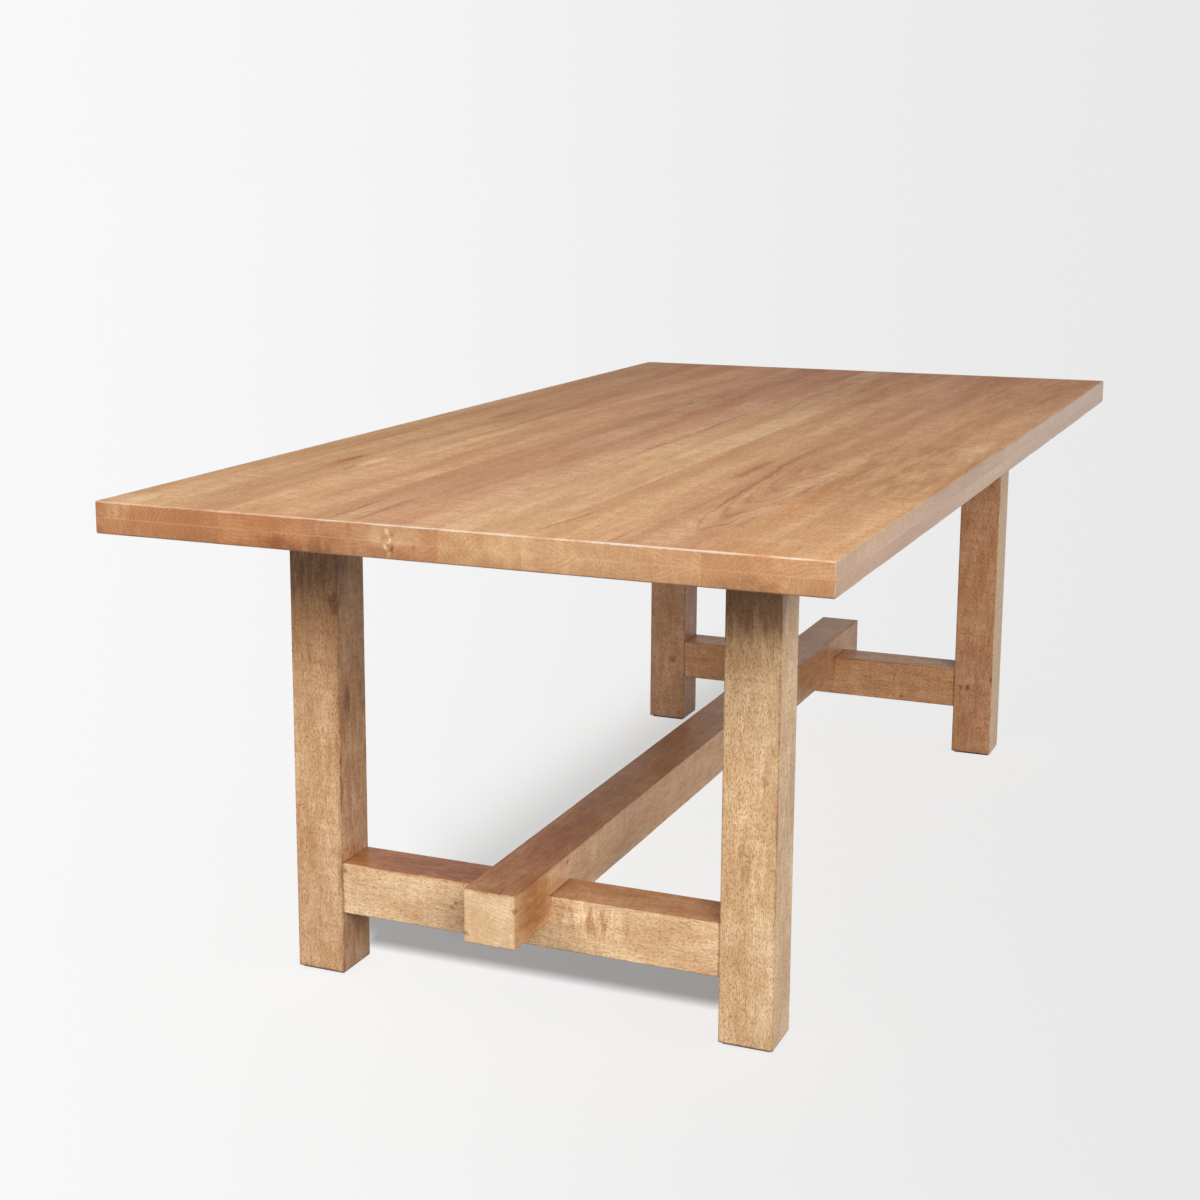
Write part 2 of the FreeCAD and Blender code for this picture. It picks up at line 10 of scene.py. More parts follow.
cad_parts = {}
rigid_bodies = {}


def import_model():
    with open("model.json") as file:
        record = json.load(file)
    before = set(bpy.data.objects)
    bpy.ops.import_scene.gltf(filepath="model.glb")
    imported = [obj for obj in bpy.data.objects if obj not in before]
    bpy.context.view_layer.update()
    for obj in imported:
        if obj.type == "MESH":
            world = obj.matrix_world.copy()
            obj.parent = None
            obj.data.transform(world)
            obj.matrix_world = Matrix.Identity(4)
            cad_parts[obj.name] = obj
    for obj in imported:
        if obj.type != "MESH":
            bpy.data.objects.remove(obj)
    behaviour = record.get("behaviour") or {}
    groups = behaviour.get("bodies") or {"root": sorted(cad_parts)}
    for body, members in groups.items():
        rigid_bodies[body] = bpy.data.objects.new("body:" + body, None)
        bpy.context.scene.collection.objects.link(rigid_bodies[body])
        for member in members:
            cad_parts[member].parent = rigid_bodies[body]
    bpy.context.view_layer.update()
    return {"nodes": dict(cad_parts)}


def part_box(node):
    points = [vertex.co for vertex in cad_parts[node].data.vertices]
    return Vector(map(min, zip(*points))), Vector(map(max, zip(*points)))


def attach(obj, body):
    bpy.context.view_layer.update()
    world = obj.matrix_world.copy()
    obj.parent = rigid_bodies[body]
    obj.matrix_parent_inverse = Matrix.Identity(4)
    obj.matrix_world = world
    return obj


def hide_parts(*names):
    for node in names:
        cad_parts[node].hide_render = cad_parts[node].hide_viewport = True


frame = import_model()

bl_info = {
    "name": "Trestle Dining Table",
    "version": (1, 0, 0),
    "blender": (4, 5, 0),
    "location": "View3D > Sidebar > Trestle Table",
    "description": "Dresses the frame of a solid wood trestle table with worn edges and figured wood",
    "category": "Object",
}

# X runs along the table, Y across it from the front (-Y) to the rear (+Y), Z up. Lengths are metres.
# Left is the -X end and right the +X end. The boards of the top are counted from the rear.

ENDS = ("left", "right")
SIDES = ("rear", "front")
BOARDS = tuple("plank_%d" % number for number in range(1, 9))
STRIPS = tuple("edge_strip_%s" % side for side in SIDES)
BLOCKS = tuple("end_block_%s_%d" % (end, number) for end in ENDS for number in range(1, 8))
LEGS = tuple("leg_%s_%s" % (end, side) for end in ENDS for side in SIDES)
CROSSBARS = tuple("crossbar_%s" % end for end in ENDS)
HIDDEN_TIMBERS = ("bearer_left", "bearer_right", "centre_batten") + tuple("spline_%d" % n for n in range(1, 8))
PADS = tuple("foot_pad_%s_%s" % (end, side) for end in ENDS for side in SIDES)
STEEL = ("top_bolts", "top_washers", "stretcher_bolts", "stretcher_washers", "batten_screws", "pad_screws")
BRASS = ("top_inserts", "stretcher_inserts")

# Turns that bring the grain of a piece, which runs along this axis, onto X.
GRAIN_TURN = {"X": (0, 0, 0), "Y": (0, 0, -math.pi / 2), "Z": (0, math.pi / 2, 0)}

TOUCH = 1e-5


def colour(name, description, default):
    """A colour that a user may change."""
    return FloatVectorProperty(name=name, description=description, default=default, subtype="COLOR", min=0, max=1)


def amount(name, description, default, **more):
    """A number from 0 up that a user may change."""
    return FloatProperty(name=name, description=description, default=default, min=0, **more)


def length(name, description, default):
    """A length that a user may change."""
    return amount(name, description, default, unit="LENGTH", precision=4)


class TrestleShape(bpy.types.PropertyGroup):
    """Sizes of the sanded and worn edges."""

    rim_radius: length("Rim radius", "Radius of the eased rim of the top", 0.0026)
    frame_radius: length("Frame radius", "Radius of the eased edges of legs and stretcher", 0.0011)
    rub_depth: length("Rub depth", "How far the eased edges are worn back in places", 0.0007)
    rub_step: length("Rub step", "Distance between the places where wear is shaped", 0.035)


class TrestleWood(bpy.types.PropertyGroup):
    """Colours of the woods and of what is on them."""

    top_pale: colour("Top, pale", "Wood of the top between its streaks", (0.622, 0.386, 0.219))
    top_deep: colour("Top, deep", "Wood of the top in its streaks", (0.445, 0.232, 0.117))
    frame_pale: colour("Frame, pale", "Wood of legs, crossbars and stretcher between streaks", (0.830, 0.570, 0.340))
    frame_deep: colour("Frame, deep", "Wood of legs, crossbars and stretcher in its streaks", (0.610, 0.345, 0.170))
    inner_pale: colour("Inner, pale", "Wood of the hidden timbers between streaks", (0.560, 0.380, 0.220))
    inner_deep: colour("Inner, deep", "Wood of the hidden timbers in their streaks", (0.400, 0.240, 0.130))
    cream: colour("Cream", "Sapwood in the pale marks", (0.800, 0.560, 0.330))
    # Colour of the painted highlight along the eased edges of the top's ends, partly worn finish.
    rubbed: colour("Rubbed edge", "Wood where the finish is rubbed thin", (0.540, 0.515, 0.450))
    rubber: colour("Rubber", "Foot pads", (0.020, 0.019, 0.018))
    steel: colour("Steel", "Bolts, washers and screws", (0.560, 0.560, 0.570))
    brass: colour("Brass", "Threaded inserts", (0.720, 0.520, 0.240))


class TrestleStage(bpy.types.PropertyGroup):
    """The floor, the lights and the camera."""

    floor: colour("Floor", "Colour of the floor as the table sees it", (0.078, 0.078, 0.078))
    backdrop_left: colour("Backdrop, left", "Floor and backdrop on the left of the picture", (0.945, 0.945, 0.945))
    backdrop_right: colour("Backdrop, right", "Floor and backdrop on the right of the picture", (0.815, 0.815, 0.815))
    shadow_share: amount("Shadow share", "How much of the shadows the floor keeps", 0.25, max=1, subtype="FACTOR")
    sky: amount("Sky", "Strength of the light from all round", 0.14)
    lamp_level: amount("Lamps", "Strength of all the lamps together", 1.0)
    floor_level: amount("Floor lamps", "Strength of the lamps that only the floor shows", 1.0)
    camera_place: FloatVectorProperty(name="Camera place", description="Place of the camera",
                                      default=(-3.2489, -1.1094, 1.2110), subtype="TRANSLATION", unit="LENGTH")
    camera_turn: FloatVectorProperty(name="Camera turn", description="Direction of the camera",
                                     default=(1.38379, 0.0, -1.15740), subtype="EULER", unit="ROTATION")
    lens: FloatProperty(name="Lens", description="Focal length for a 36 mm sensor", default=58.454, min=1,
                        unit="CAMERA")
    shift: FloatVectorProperty(name="Shift", description="Shift of the frame, sideways and up", size=2,
                               default=(0.0443, -0.0519))


# Nodes

class Wiring:
    """Adds nodes to one node tree and links them."""

    def __init__(self, tree):
        self.tree = tree

    def node(self, kind, inputs=(), **settings):
        """Add a node, make its settings, and feed its inputs by name or number."""
        made = self.tree.nodes.new(kind)
        for name, value in settings.items():
            setattr(made, name, value)
        self.fill(made, inputs)
        return made

    def fill(self, node, inputs):
        """Feed inputs of a node by name or number."""
        for key, value in dict(inputs).items():
            self.feed(node.inputs[key], value)

    def feed(self, socket, value):
        """Link a socket to another, or give it a value."""
        if isinstance(value, bpy.types.NodeSocket):
            self.tree.links.new(value, socket)
        else:
            socket.default_value = value

    def math(self, operation, *values):
        """One sum on numbers."""
        return self.node("ShaderNodeMath", enumerate(values), operation=operation).outputs[0]

    def times(self, first, *others):
        """The product of numbers."""
        for other in others:
            first = self.math("MULTIPLY", first, other)
        return first

    def split(self, vector):
        """The three parts of a vector."""
        return self.node("ShaderNodeSeparateXYZ", {0: vector}).outputs

    def vector(self, operation, *values):
        """One sum on vectors that gives a vector."""
        return self.node("ShaderNodeVectorMath", enumerate(values), operation=operation).outputs["Vector"]

    def measure(self, operation, *values):
        """One sum on vectors that gives a number."""
        return self.node("ShaderNodeVectorMath", enumerate(values), operation=operation).outputs["Value"]

    def scale(self, vector, amount):
        """A vector or colour times a number."""
        return self.node("ShaderNodeVectorMath", {0: vector, "Scale": amount}, operation="SCALE").outputs["Vector"]

    def ease(self, value, start, end, low=0.0, high=1.0):
        """A smooth step from low to high while the value goes from start to end."""
        spans = {"Value": value, "From Min": start, "From Max": end, "To Min": low, "To Max": high}
        return self.node("ShaderNodeMapRange", spans, interpolation_type="SMOOTHSTEP").outputs["Result"]

    def blend(self, share, first, second):
        """Two colours mixed."""
        return self.node("ShaderNodeMix", {0: share, 6: first, 7: second}, data_type="RGBA").outputs[2]

    def tint(self, share, base, tint):
        """A colour that is tinted by a share."""
        return self.blend(share, base, self.vector("MULTIPLY", base, tint))

    def noise(self, place, stretch, detail, roughness=0.5, distortion=0.0):
        """The outputs of a noise whose pattern has stretch repeats to the metre along each axis."""
        stretched = self.vector("MULTIPLY", place, stretch)
        inputs = {"Vector": stretched, "Scale": 1.0, "Detail": detail, "Roughness": roughness,
                  "Distortion": distortion}
        return self.node("ShaderNodeTexNoise", inputs).outputs

    def group(self, tree, inputs):
        """Place a shader node group and give its outputs."""
        return self.node("ShaderNodeGroup", inputs, node_tree=tree).outputs


def start_group(name, inputs, outputs):
    """Start a shader node group. Inputs are given with their defaults, outputs with their kinds."""
    kinds = {1: "NodeSocketFloat", 3: "NodeSocketVector", 4: "NodeSocketColor"}
    tree = bpy.data.node_groups.new(name, "ShaderNodeTree")
    for label, default in inputs.items():
        count = len(default) if isinstance(default, tuple) else 1
        socket = tree.interface.new_socket(label, in_out="INPUT", socket_type=kinds[count])
        socket.default_value = default
    for label, kind in outputs.items():
        tree.interface.new_socket(label, in_out="OUTPUT", socket_type="NodeSocket" + kind)
    wires = Wiring(tree)
    given = wires.node("NodeGroupInput").outputs
    return wires, given


def end_group(wires, results):
    """Send results to the outputs of a group, by name."""
    wires.node("NodeGroupOutput", results)
    return wires.tree


def shared(name, build):
    """The shader node group of that name, built when it is first asked for."""
    return bpy.data.node_groups.get(name) or build(name)


def build_grain(name):
    """Straying grain along X: broad bands, streaks, fibres, pores and cross ripple, each from 0 to 1. The grids are
    repeats to the metre along each axis."""
    wires, given = start_group(
        name,
        {"Place": (0.0, 0.0, 0.0), "Stray": 0.035, "Band Grid": (1.0, 15.0, 15.0), "Streak Grid": (8.0, 60.0, 60.0),
         "Pore Grid": (150.0, 560.0, 560.0), "Ripple Grid": (80.0, 20.0, 20.0)},
        {"Stray": "Vector", "Bands": "Float", "Streaks": "Float", "Fibres": "Float", "Pores": "Float",
         "Ripple": "Float"},
    )

    def drift(grid, share):
        wander = wires.noise(given["Place"], grid, 2.0)["Color"]
        return wires.vector("MULTIPLY", wires.vector("SUBTRACT", wander, (0.5, 0.5, 0.5)), (0.0, share, share))

    sideways = wires.vector("ADD", drift((0.9, 5.0, 5.0), 1.0), drift((8.0, 20.0, 20.0), 0.3))
    stray = wires.scale(sideways, given["Stray"])
    place = wires.vector("ADD", given["Place"], stray)
    bands = wires.noise(place, given["Band Grid"], 4.0, 0.55)["Fac"]
    streaks = wires.noise(place, given["Streak Grid"], 3.0, 0.55)["Fac"]
    fibres = wires.noise(place, (40.0, 520.0, 520.0), 2.0, 0.6)["Fac"]
    dashes = wires.noise(place, given["Pore Grid"], 2.0, 0.5, 0.5)["Fac"]
    ripple = wires.noise(place, given["Ripple Grid"], 3.0, 0.55, 0.4)["Fac"]
    return end_group(wires, {
        "Stray": stray,
        "Bands": wires.ease(bands, 0.3, 0.7),
        "Streaks": wires.ease(streaks, 0.3, 0.7),
        "Fibres": wires.ease(fibres, 0.25, 0.75),
        "Pores": wires.ease(dashes, 0.48, 0.66),
        "Ripple": wires.ease(ripple, 0.3, 0.7),
    })


def build_rings(name):
    """Year rings round a pith that lies along X, and the fine rays across them."""
    wires, given = start_group(
        name,
        {"Place": (0.0, 0.0, 0.0), "Pith": (0.0, 0.0, -0.08), "Spacing": 0.006},
        {"Rings": "Float", "Rays": "Float"},
    )
    level = wires.vector("MULTIPLY", wires.vector("SUBTRACT", given["Place"], given["Pith"]), (0.0, 1.0, 1.0))
    uneven = wires.noise(given["Place"], (1.5, 30.0, 30.0), 3.0, 0.6)["Fac"]
    far = wires.math("MULTIPLY_ADD", uneven, 0.016, wires.measure("LENGTH", level))
    turns = wires.times(wires.math("DIVIDE", far, given["Spacing"]), 2 * math.pi)
    wave = wires.math("MULTIPLY_ADD", wires.math("SINE", turns), 0.5, 0.5)
    rays = wires.noise(given["Place"], (2.0, 300.0, 30.0), 3.0, 0.6, 0.3)["Fac"]
    return end_group(wires, {"Rings": wires.math("POWER", wave, 2.0), "Rays": wires.ease(rays, 0.3, 0.7)})


def start_mark(name, inputs):
    """Start a group that adds one mark to a sum."""
    return start_group(name, {"Place": (0.0, 0.0, 0.0), **inputs, "Strength": 1.0, "Sum": 0.0}, {"Sum": "Float"})


def end_mark(wires, given, mask):
    """Add a mark to the sum where its mask shows it."""
    return end_group(wires, {"Sum": wires.math("MULTIPLY_ADD", mask, given["Strength"], given["Sum"])})


def build_mark(name):
    """A soft streak along X that may lean and bend."""
    wires, given = start_mark(
        name, {"Middle": (0.0, 0.0, 0.0), "Half Length": 0.1, "Half Width": 0.01, "Lean": 0.0, "Bend": 0.0})
    along, across, _ = wires.split(wires.vector("SUBTRACT", given["Place"], given["Middle"]))
    slope = wires.math("MULTIPLY_ADD", along, given["Bend"], given["Lean"])
    line = wires.times(along, slope)
    side = wires.math("DIVIDE", wires.math("SUBTRACT", across, line), given["Half Width"])
    reach = wires.math("DIVIDE", along, given["Half Length"])
    away = wires.math("ADD", wires.times(side, side), wires.times(reach, reach))
    return end_mark(wires, given, wires.ease(away, 1.0, 0.0))


def build_cathedral(name):
    """Nested arches of flat-sawn wood that open along X from an apex."""
    wires, given = start_mark(name, {"Apex": (0.0, 0.0, 0.0), "Spread": 155.0, "Spacing": 0.05, "Reach": 0.8})
    along, across, _ = wires.split(wires.vector("SUBTRACT", given["Place"], given["Apex"]))
    arch = wires.times(across, across, given["Spread"])
    inside = wires.math("SUBTRACT", along, arch)
    turns = wires.times(wires.math("DIVIDE", inside, given["Spacing"]), 2 * math.pi)
    lines = wires.math("POWER", wires.math("MULTIPLY_ADD", wires.math("COSINE", turns), 0.5, 0.5), 3.0)
    shown = wires.times(wires.ease(inside, -0.02, 0.0), wires.ease(along, given["Reach"], 0.0))
    return end_mark(wires, given, wires.times(lines, shown))


def build_patch(name):
    """A soft round or oval patch in the wood."""
    wires, given = start_mark(name, {"Middle": (0.0, 0.0, 0.0), "Reach": (0.01, 0.01, 0.01)})
    apart = wires.vector("DIVIDE", wires.vector("SUBTRACT", given["Place"], given["Middle"]), given["Reach"])
    return end_mark(wires, given, wires.ease(wires.measure("LENGTH", apart), 1.0, 0.3))


def build_edge_rub(name):
    """Where a box-shaped piece is rubbed: along the edges between its outer faces, in patches."""
    wires, given = start_group(
        name,
        {"Place": (0.0, 0.0, 0.0), "Low": (0.0, 0.0, 0.0), "High": (1.0, 1.0, 1.0), "Reach": 0.003},
        {"Rub": "Float"},
    )
    below = wires.vector("SUBTRACT", given["Place"], given["Low"])
    above = wires.vector("SUBTRACT", given["High"], given["Place"])
    inset = wires.split(wires.vector("MINIMUM", below, above))
    low_pair, high_pair = (wires.math(kind, inset[0], inset[1]) for kind in ("MINIMUM", "MAXIMUM"))
    second = wires.math("MAXIMUM", low_pair, wires.math("MINIMUM", high_pair, inset[2]))
    patches = wires.noise(given["Place"], (22.0, 22.0, 22.0), 3.0, 0.6)["Fac"]
    reach = wires.times(given["Reach"], wires.ease(patches, 0.3, 0.7, 0.5, 1.3))
    return end_group(wires, {"Rub": wires.ease(wires.math("DIVIDE", second, reach), 1.0, 0.3)})


# How the marks, painted shade and light among them, and the sheen change the wood under them, and how strongly the
# fibres shine.
DARK_TINT = (0.50, 0.40, 0.36)
WARM_TINT = (1.0, 0.83, 0.62)
SHEEN_TINT = (0.65, 1.0, 1.35)
FIBRE_SHEEN = 0.095

# How strongly a mark of full strength shows, midway between the flecks that break it up.
MARK_SHARE = 0.925


def build_stain(name):
    """Colour, roughness and height of stained and lacquered wood from the parts of its figure."""
    wires, given = start_group(
        name,
        {"Pale": (0.6, 0.4, 0.2, 1.0), "Deep": (0.4, 0.2, 0.1, 1.0), "Cream": (0.8, 0.6, 0.3, 1.0),
         "Rubbed": (0.8, 0.6, 0.4, 1.0), "End Tint": (0.85, 0.75, 0.68), "Upper Tint": (1.0, 1.0, 1.0), "Upper": 0.0,
         "Bands": 0.5, "Streaks": 0.5, "Fibres": 0.5, "Pores": 0.0, "Rings": 0.0, "Ripple": 0.5, "Rays": 0.5,
         "Band Depth": 0.8, "Streak Depth": 0.28, "Pore Depth": 0.36, "End Pore Share": 0.6,
         "Pore Tint": (0.52, 0.38, 0.30), "Ring Depth": 0.1, "End Ring Depth": 0.42, "Ray Depth": 0.1,
         "Ripple Depth": 0.16, "Ripple Marks": 0.0, "Mark Fleck": 0.75, "Dark Marks": 0.0, "Pale Marks": 0.0,
         "Warm Marks": 0.0, "Glue": 0.0, "Rub": 0.0, "End": 0.0},
        {"Color": "Color", "Roughness": "Float", "Height": "Float"},
    )

    def about(part, depth):
        return wires.times(wires.math("SUBTRACT", given[part], 0.5), given[depth])

    fleck = about("Streaks", "Mark Fleck")
    dark_share = wires.math("SUBTRACT", MARK_SHARE, fleck)
    light_share = wires.math("ADD", MARK_SHARE, fleck)
    share = wires.math("ADD", about("Bands", "Band Depth"), about("Streaks", "Streak Depth"))
    softened = wires.times(share, wires.ease(given["End"], 0.0, 1.0, 1.0, 0.8))
    base = wires.blend(wires.math("ADD", softened, 0.55), given["Deep"], given["Pale"])
    ring_depth = wires.ease(given["End"], 0.0, 1.0, given["Ring Depth"], given["End Ring Depth"])
    ringed = wires.blend(wires.times(given["Rings"], ring_depth), base, given["Deep"])
    ripple_share = wires.math("ADD", wires.ease(given["Bands"], 0.2, 0.9, 0.4, 1.4), given["Ripple Marks"])
    rippled = wires.times(about("Ripple", "Ripple Depth"), ripple_share)
    sheen = wires.math("ADD", rippled, wires.ease(given["Fibres"], 0.0, 1.0, -FIBRE_SHEEN, FIBRE_SHEEN))
    lift = wires.vector("ADD", wires.scale(SHEEN_TINT, sheen), (1.0, 1.0, 1.0))
    fibred = wires.vector("MULTIPLY", ringed, lift)
    rayed = wires.math("ADD", about("Rays", "Ray Depth"), 1.0)
    ended = wires.blend(given["End"], fibred, wires.scale(wires.vector("MULTIPLY", fibred, given["End Tint"]), rayed))
    # Upward faces take the Upper Tint: painted shade on the upper faces of the frame, a painted sheen on the far part
    # of the top.
    faced = wires.tint(given["Upper"], ended, given["Upper Tint"])
    darkened = wires.tint(wires.times(given["Dark Marks"], dark_share), faced, DARK_TINT)
    warmed = wires.tint(wires.times(given["Warm Marks"], light_share), darkened, WARM_TINT)
    paled = wires.blend(wires.times(given["Pale Marks"], light_share), warmed, given["Cream"])
    pore_share = wires.ease(given["End"], 0.0, 1.0, 1.0, given["End Pore Share"])
    pored = wires.tint(wires.times(given["Pores"], given["Pore Depth"], pore_share), paled, given["Pore Tint"])
    glued = wires.blend(given["Glue"], pored, given["Cream"])
    # The Rubbed colour along the Rub mask is a painted highlight on the eased ends of the top, partly worn finish.
    rubbed = wires.blend(given["Rub"], glued, given["Rubbed"])
    smooth = wires.math("MULTIPLY_ADD", given["Fibres"], 0.1, 0.72)
    rough = wires.math("MULTIPLY_ADD", given["Pores"], 0.15, smooth)
    relief = wires.math("MULTIPLY_ADD", given["Pores"], -0.6, wires.times(given["Fibres"], 0.4))
    return end_group(wires, {"Color": rubbed, "Roughness": rough, "Height": relief})


# One streak of the figure: its middle along and across the grain, half its length and width, how strongly it
# shows, and how it leans and bends across the grain.
Mark = namedtuple("Mark", "along across half_length half_width strength lean bend", defaults=(0.0, 0.0))

# A patch in the wood with a ragged outline, or a seam with a plain one: its middle, how far it reaches along the
# three axes, and how strongly it shows.
Patch = namedtuple("Patch", "middle reach strength")
Seam = namedtuple("Seam", "middle reach strength")

# Arches of flat-sawn wood: their apex along and across the grain, how wide they open, the distance between them, how
# far they run and how strongly they show.
Cathedral = namedtuple("Cathedral", "along across spread spacing reach strength")


def add_marks(wires, places, marks, total):
    """Add marks of one kind to a total. Places holds the plain, the ragged and the straying coordinates."""
    here, ragged, strayed = places
    for mark in marks:
        if isinstance(mark, (Patch, Seam)):
            tree = shared("Patch", build_patch)
            place = here if isinstance(mark, Seam) else ragged
            values = {"Place": place, "Middle": mark.middle, "Reach": mark.reach}
        elif isinstance(mark, Cathedral):
            tree = shared("Cathedral", build_cathedral)
            values = {"Place": strayed, "Apex": (mark.along, mark.across, 0.0), "Spread": mark.spread,
                      "Spacing": mark.spacing, "Reach": mark.reach}
        else:
            tree = shared("Mark", build_mark)
            values = {"Place": strayed, "Middle": (mark.along, mark.across, 0.0), "Half Length": mark.half_length,
                      "Half Width": mark.half_width, "Lean": mark.lean, "Bend": mark.bend}
        total = wires.group(tree, {**values, "Strength": mark.strength, "Sum": total})["Sum"]
    return total


def opaque(value):
    """A colour with full alpha."""
    return (*value, 1.0)


def start_material(name):
    """Start a material. Gives it, its wiring and its shader."""
    material = bpy.data.materials.new(name)
    material.use_nodes = True
    return material, Wiring(material.node_tree), material.node_tree.nodes["Principled BSDF"]


# How squarely a face looks along an axis where it starts to count as facing that way, and where it fully does.
FACE_ON = (0.6, 0.95)

# How darkly the edges of the frame are lined, how strongly the painted highlight, partly worn finish, shows along the
# ends of the top, and how far above its underside it starts and is full.
FRAME_LINE = 0.5
HIGHLIGHT_AND_WEAR_SHARE = 0.65
HIGHLIGHT_AND_WEAR_FROM, HIGHLIGHT_AND_WEAR_FULL = 0.002, 0.007

# How far the outlines of patches and of streaks along the grain tremble.
PATCH_TREMOR = (0.014, 0.014, 0.014)
STREAK_TREMOR = (0.06, 0.014, 0.014)

# Where the heart of the log is, if nothing else is said.
PITH = (0.0, 0.0, -0.08)

# The glue line round the top: half the width of its core, half its whole width, and how strongly it shows.
GLUE_CORE, GLUE_EDGE, GLUE_SHARE = 0.0004, 0.0013, 0.16

# How far the figure of the lower half of the top is set aside from that of its upper half.
LOWER_ASIDE = 0.008


def timber_material(name, grain_axis, shift, pale, deep, rim, pith=PITH, marks=None, figure=None, grids=None,
                    glue_height=None):
    """Finished wood whose grain runs along an axis. Rim is the box whose edges are rubbed, shift the place in the
    log that the piece was cut from, and figure and grids hold changes to how its parts show. Wood with a glue_height
    is that of the top: its figure is mirrored there, where two boards of one log meet, only its long sides are
    lacquered, a painted highlight that is partly worn finish runs along the eased edges of its ends, and a painted
    sheen tints its upper face towards the far end."""
    wood = bpy.context.scene.trestle_wood
    marks = marks or {}
    material, wires, surface = start_material(name)
    here = wires.node("ShaderNodeTexCoord").outputs["Object"]
    normal = wires.node("ShaderNodeNewGeometry").outputs["Normal"]
    facing = wires.split(wires.vector("ABSOLUTE", normal))
    edges = {"Place": here, "Low": tuple(rim[0]), "High": tuple(rim[1])}
    rub = wires.group(shared("Edge Rub", build_edge_rub), edges)["Rub"]
    folded, glue, worn, coat, lined = here, 0.0, 0.0, 0.5, wires.times(rub, FRAME_LINE)
    # The mask of upward faces, which carry painted shade on the frame and a painted sheen on the top.
    upper = wires.ease(facing[2], *FACE_ON)
    if glue_height is not None:
        x, y, z = wires.split(here)
        fold = wires.math("ABSOLUTE", wires.math("SUBTRACT", z, glue_height))
        aside = wires.math("MULTIPLY_ADD", wires.math("LESS_THAN", z, glue_height), LOWER_ASIDE, y)
        folded = wires.node("ShaderNodeCombineXYZ", {0: x, 1: aside, 2: fold}).outputs[0]
        glue = wires.ease(fold, GLUE_EDGE, GLUE_CORE, 0.0, GLUE_SHARE)
        raised = wires.times(rub, wires.ease(z, rim[0].z + HIGHLIGHT_AND_WEAR_FROM, rim[0].z + HIGHLIGHT_AND_WEAR_FULL))
        # The painted highlight along the eased edges of the ends, partly worn finish, shows only where an edge faces
        # along X and is weaker to the rear; the sides are lined darker to the far end, and the painted sheen of the
        # far part of the upper face starts before the middle.
        worn = wires.times(raised, wires.ease(y, 0.25, 0.12, 0.3, 1.0),
                           wires.ease(facing[0], 0.1, 0.5, 0.0, HIGHLIGHT_AND_WEAR_SHARE))
        lined = wires.times(raised, wires.ease(facing[1], 0.15, 0.5), wires.ease(x, -0.5, 0.3, 0.4, 1.0))
        upper = wires.times(upper, wires.ease(x, -0.2, 0.9))
        coat = wires.math("MAXIMUM", facing[1], rub)
    lying = wires.node("ShaderNodeMapping", {"Vector": folded, "Rotation": GRAIN_TURN[grain_axis]}).outputs[0]
    log = wires.vector("ADD", lying, shift)
    grain = wires.group(shared("Grain", build_grain), {"Place": log, **(grids or {})})
    strayed = wires.vector("ADD", lying, grain["Stray"])
    rings = wires.group(shared("Rings", build_rings), {"Place": strayed, "Pith": pith})
    tremor = wires.noise(log, (28.0, 80.0, 80.0), 3.0, 0.6)["Color"]
    wobble = wires.vector("SUBTRACT", tremor, (0.5, 0.5, 0.5))
    places = (here, wires.vector("MULTIPLY_ADD", wobble, PATCH_TREMOR, here),
              wires.vector("MULTIPLY_ADD", wobble, STREAK_TREMOR, strayed))
    totals = {kind.title() + " Marks": add_marks(wires, places, marks.get(kind, ()), lined if kind == "dark" else 0.0)
              for kind in ("dark", "pale", "warm", "ripple")}
    stain = wires.group(shared("Stain", build_stain), {
        "Pale": opaque(pale), "Deep": opaque(deep), "Cream": opaque(wood.cream), "Rubbed": opaque(wood.rubbed),
        **{part: grain[part] for part in ("Bands", "Streaks", "Fibres", "Pores", "Ripple")},
        "Rings": rings["Rings"], "Rays": rings["Rays"], "Rub": worn, "Glue": glue,
        "End": wires.ease(facing["XYZ".index(grain_axis)], *FACE_ON), "Upper": upper, **totals,
        **(figure or {}),
    })
    bump = wires.node("ShaderNodeBump", {"Height": stain["Height"], "Strength": 0.3, "Distance": 0.0006})
    wires.fill(surface, {
        "Base Color": stain["Color"], "Roughness": stain["Roughness"], "Normal": bump.outputs["Normal"],
        "Coat Weight": coat, "Coat Roughness": 0.3, "Coat IOR": 1.5, "Specular IOR Level": 0.1})
    return material


# Shapes

def box_of(nodes):
    """The box round several CAD nodes."""
    boxes = [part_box(node) for node in nodes]
    low = Vector(min(box[0][axis] for box in boxes) for axis in range(3))
    high = Vector(max(box[1][axis] for box in boxes) for axis in range(3))
    return low, high


def outer_faces(point, rim, within):
    """The axes along which a point is this near to an outer face of the rim's box."""
    low, high = rim
    return [axis for axis in range(3) if min(point[axis] - low[axis], high[axis] - point[axis]) < within]


def place_object(name, data):
    """Add an object to the scene."""
    made = bpy.data.objects.new(name, data)
    bpy.context.scene.collection.objects.link(made)
    return made


# Segments round an eased edge, the part of its radius within which it is worn, and the angle from which an edge counts
# as sharp.
EASE_SEGMENTS = 4
RUB_PART = 0.95
SHARP_ANGLE = math.radians(40)

# Wear of the edges: how often to the metre it comes and goes, and how much of it there is between those places.
RUB_PITCH = 14.0
RUB_LEAST = 0.15


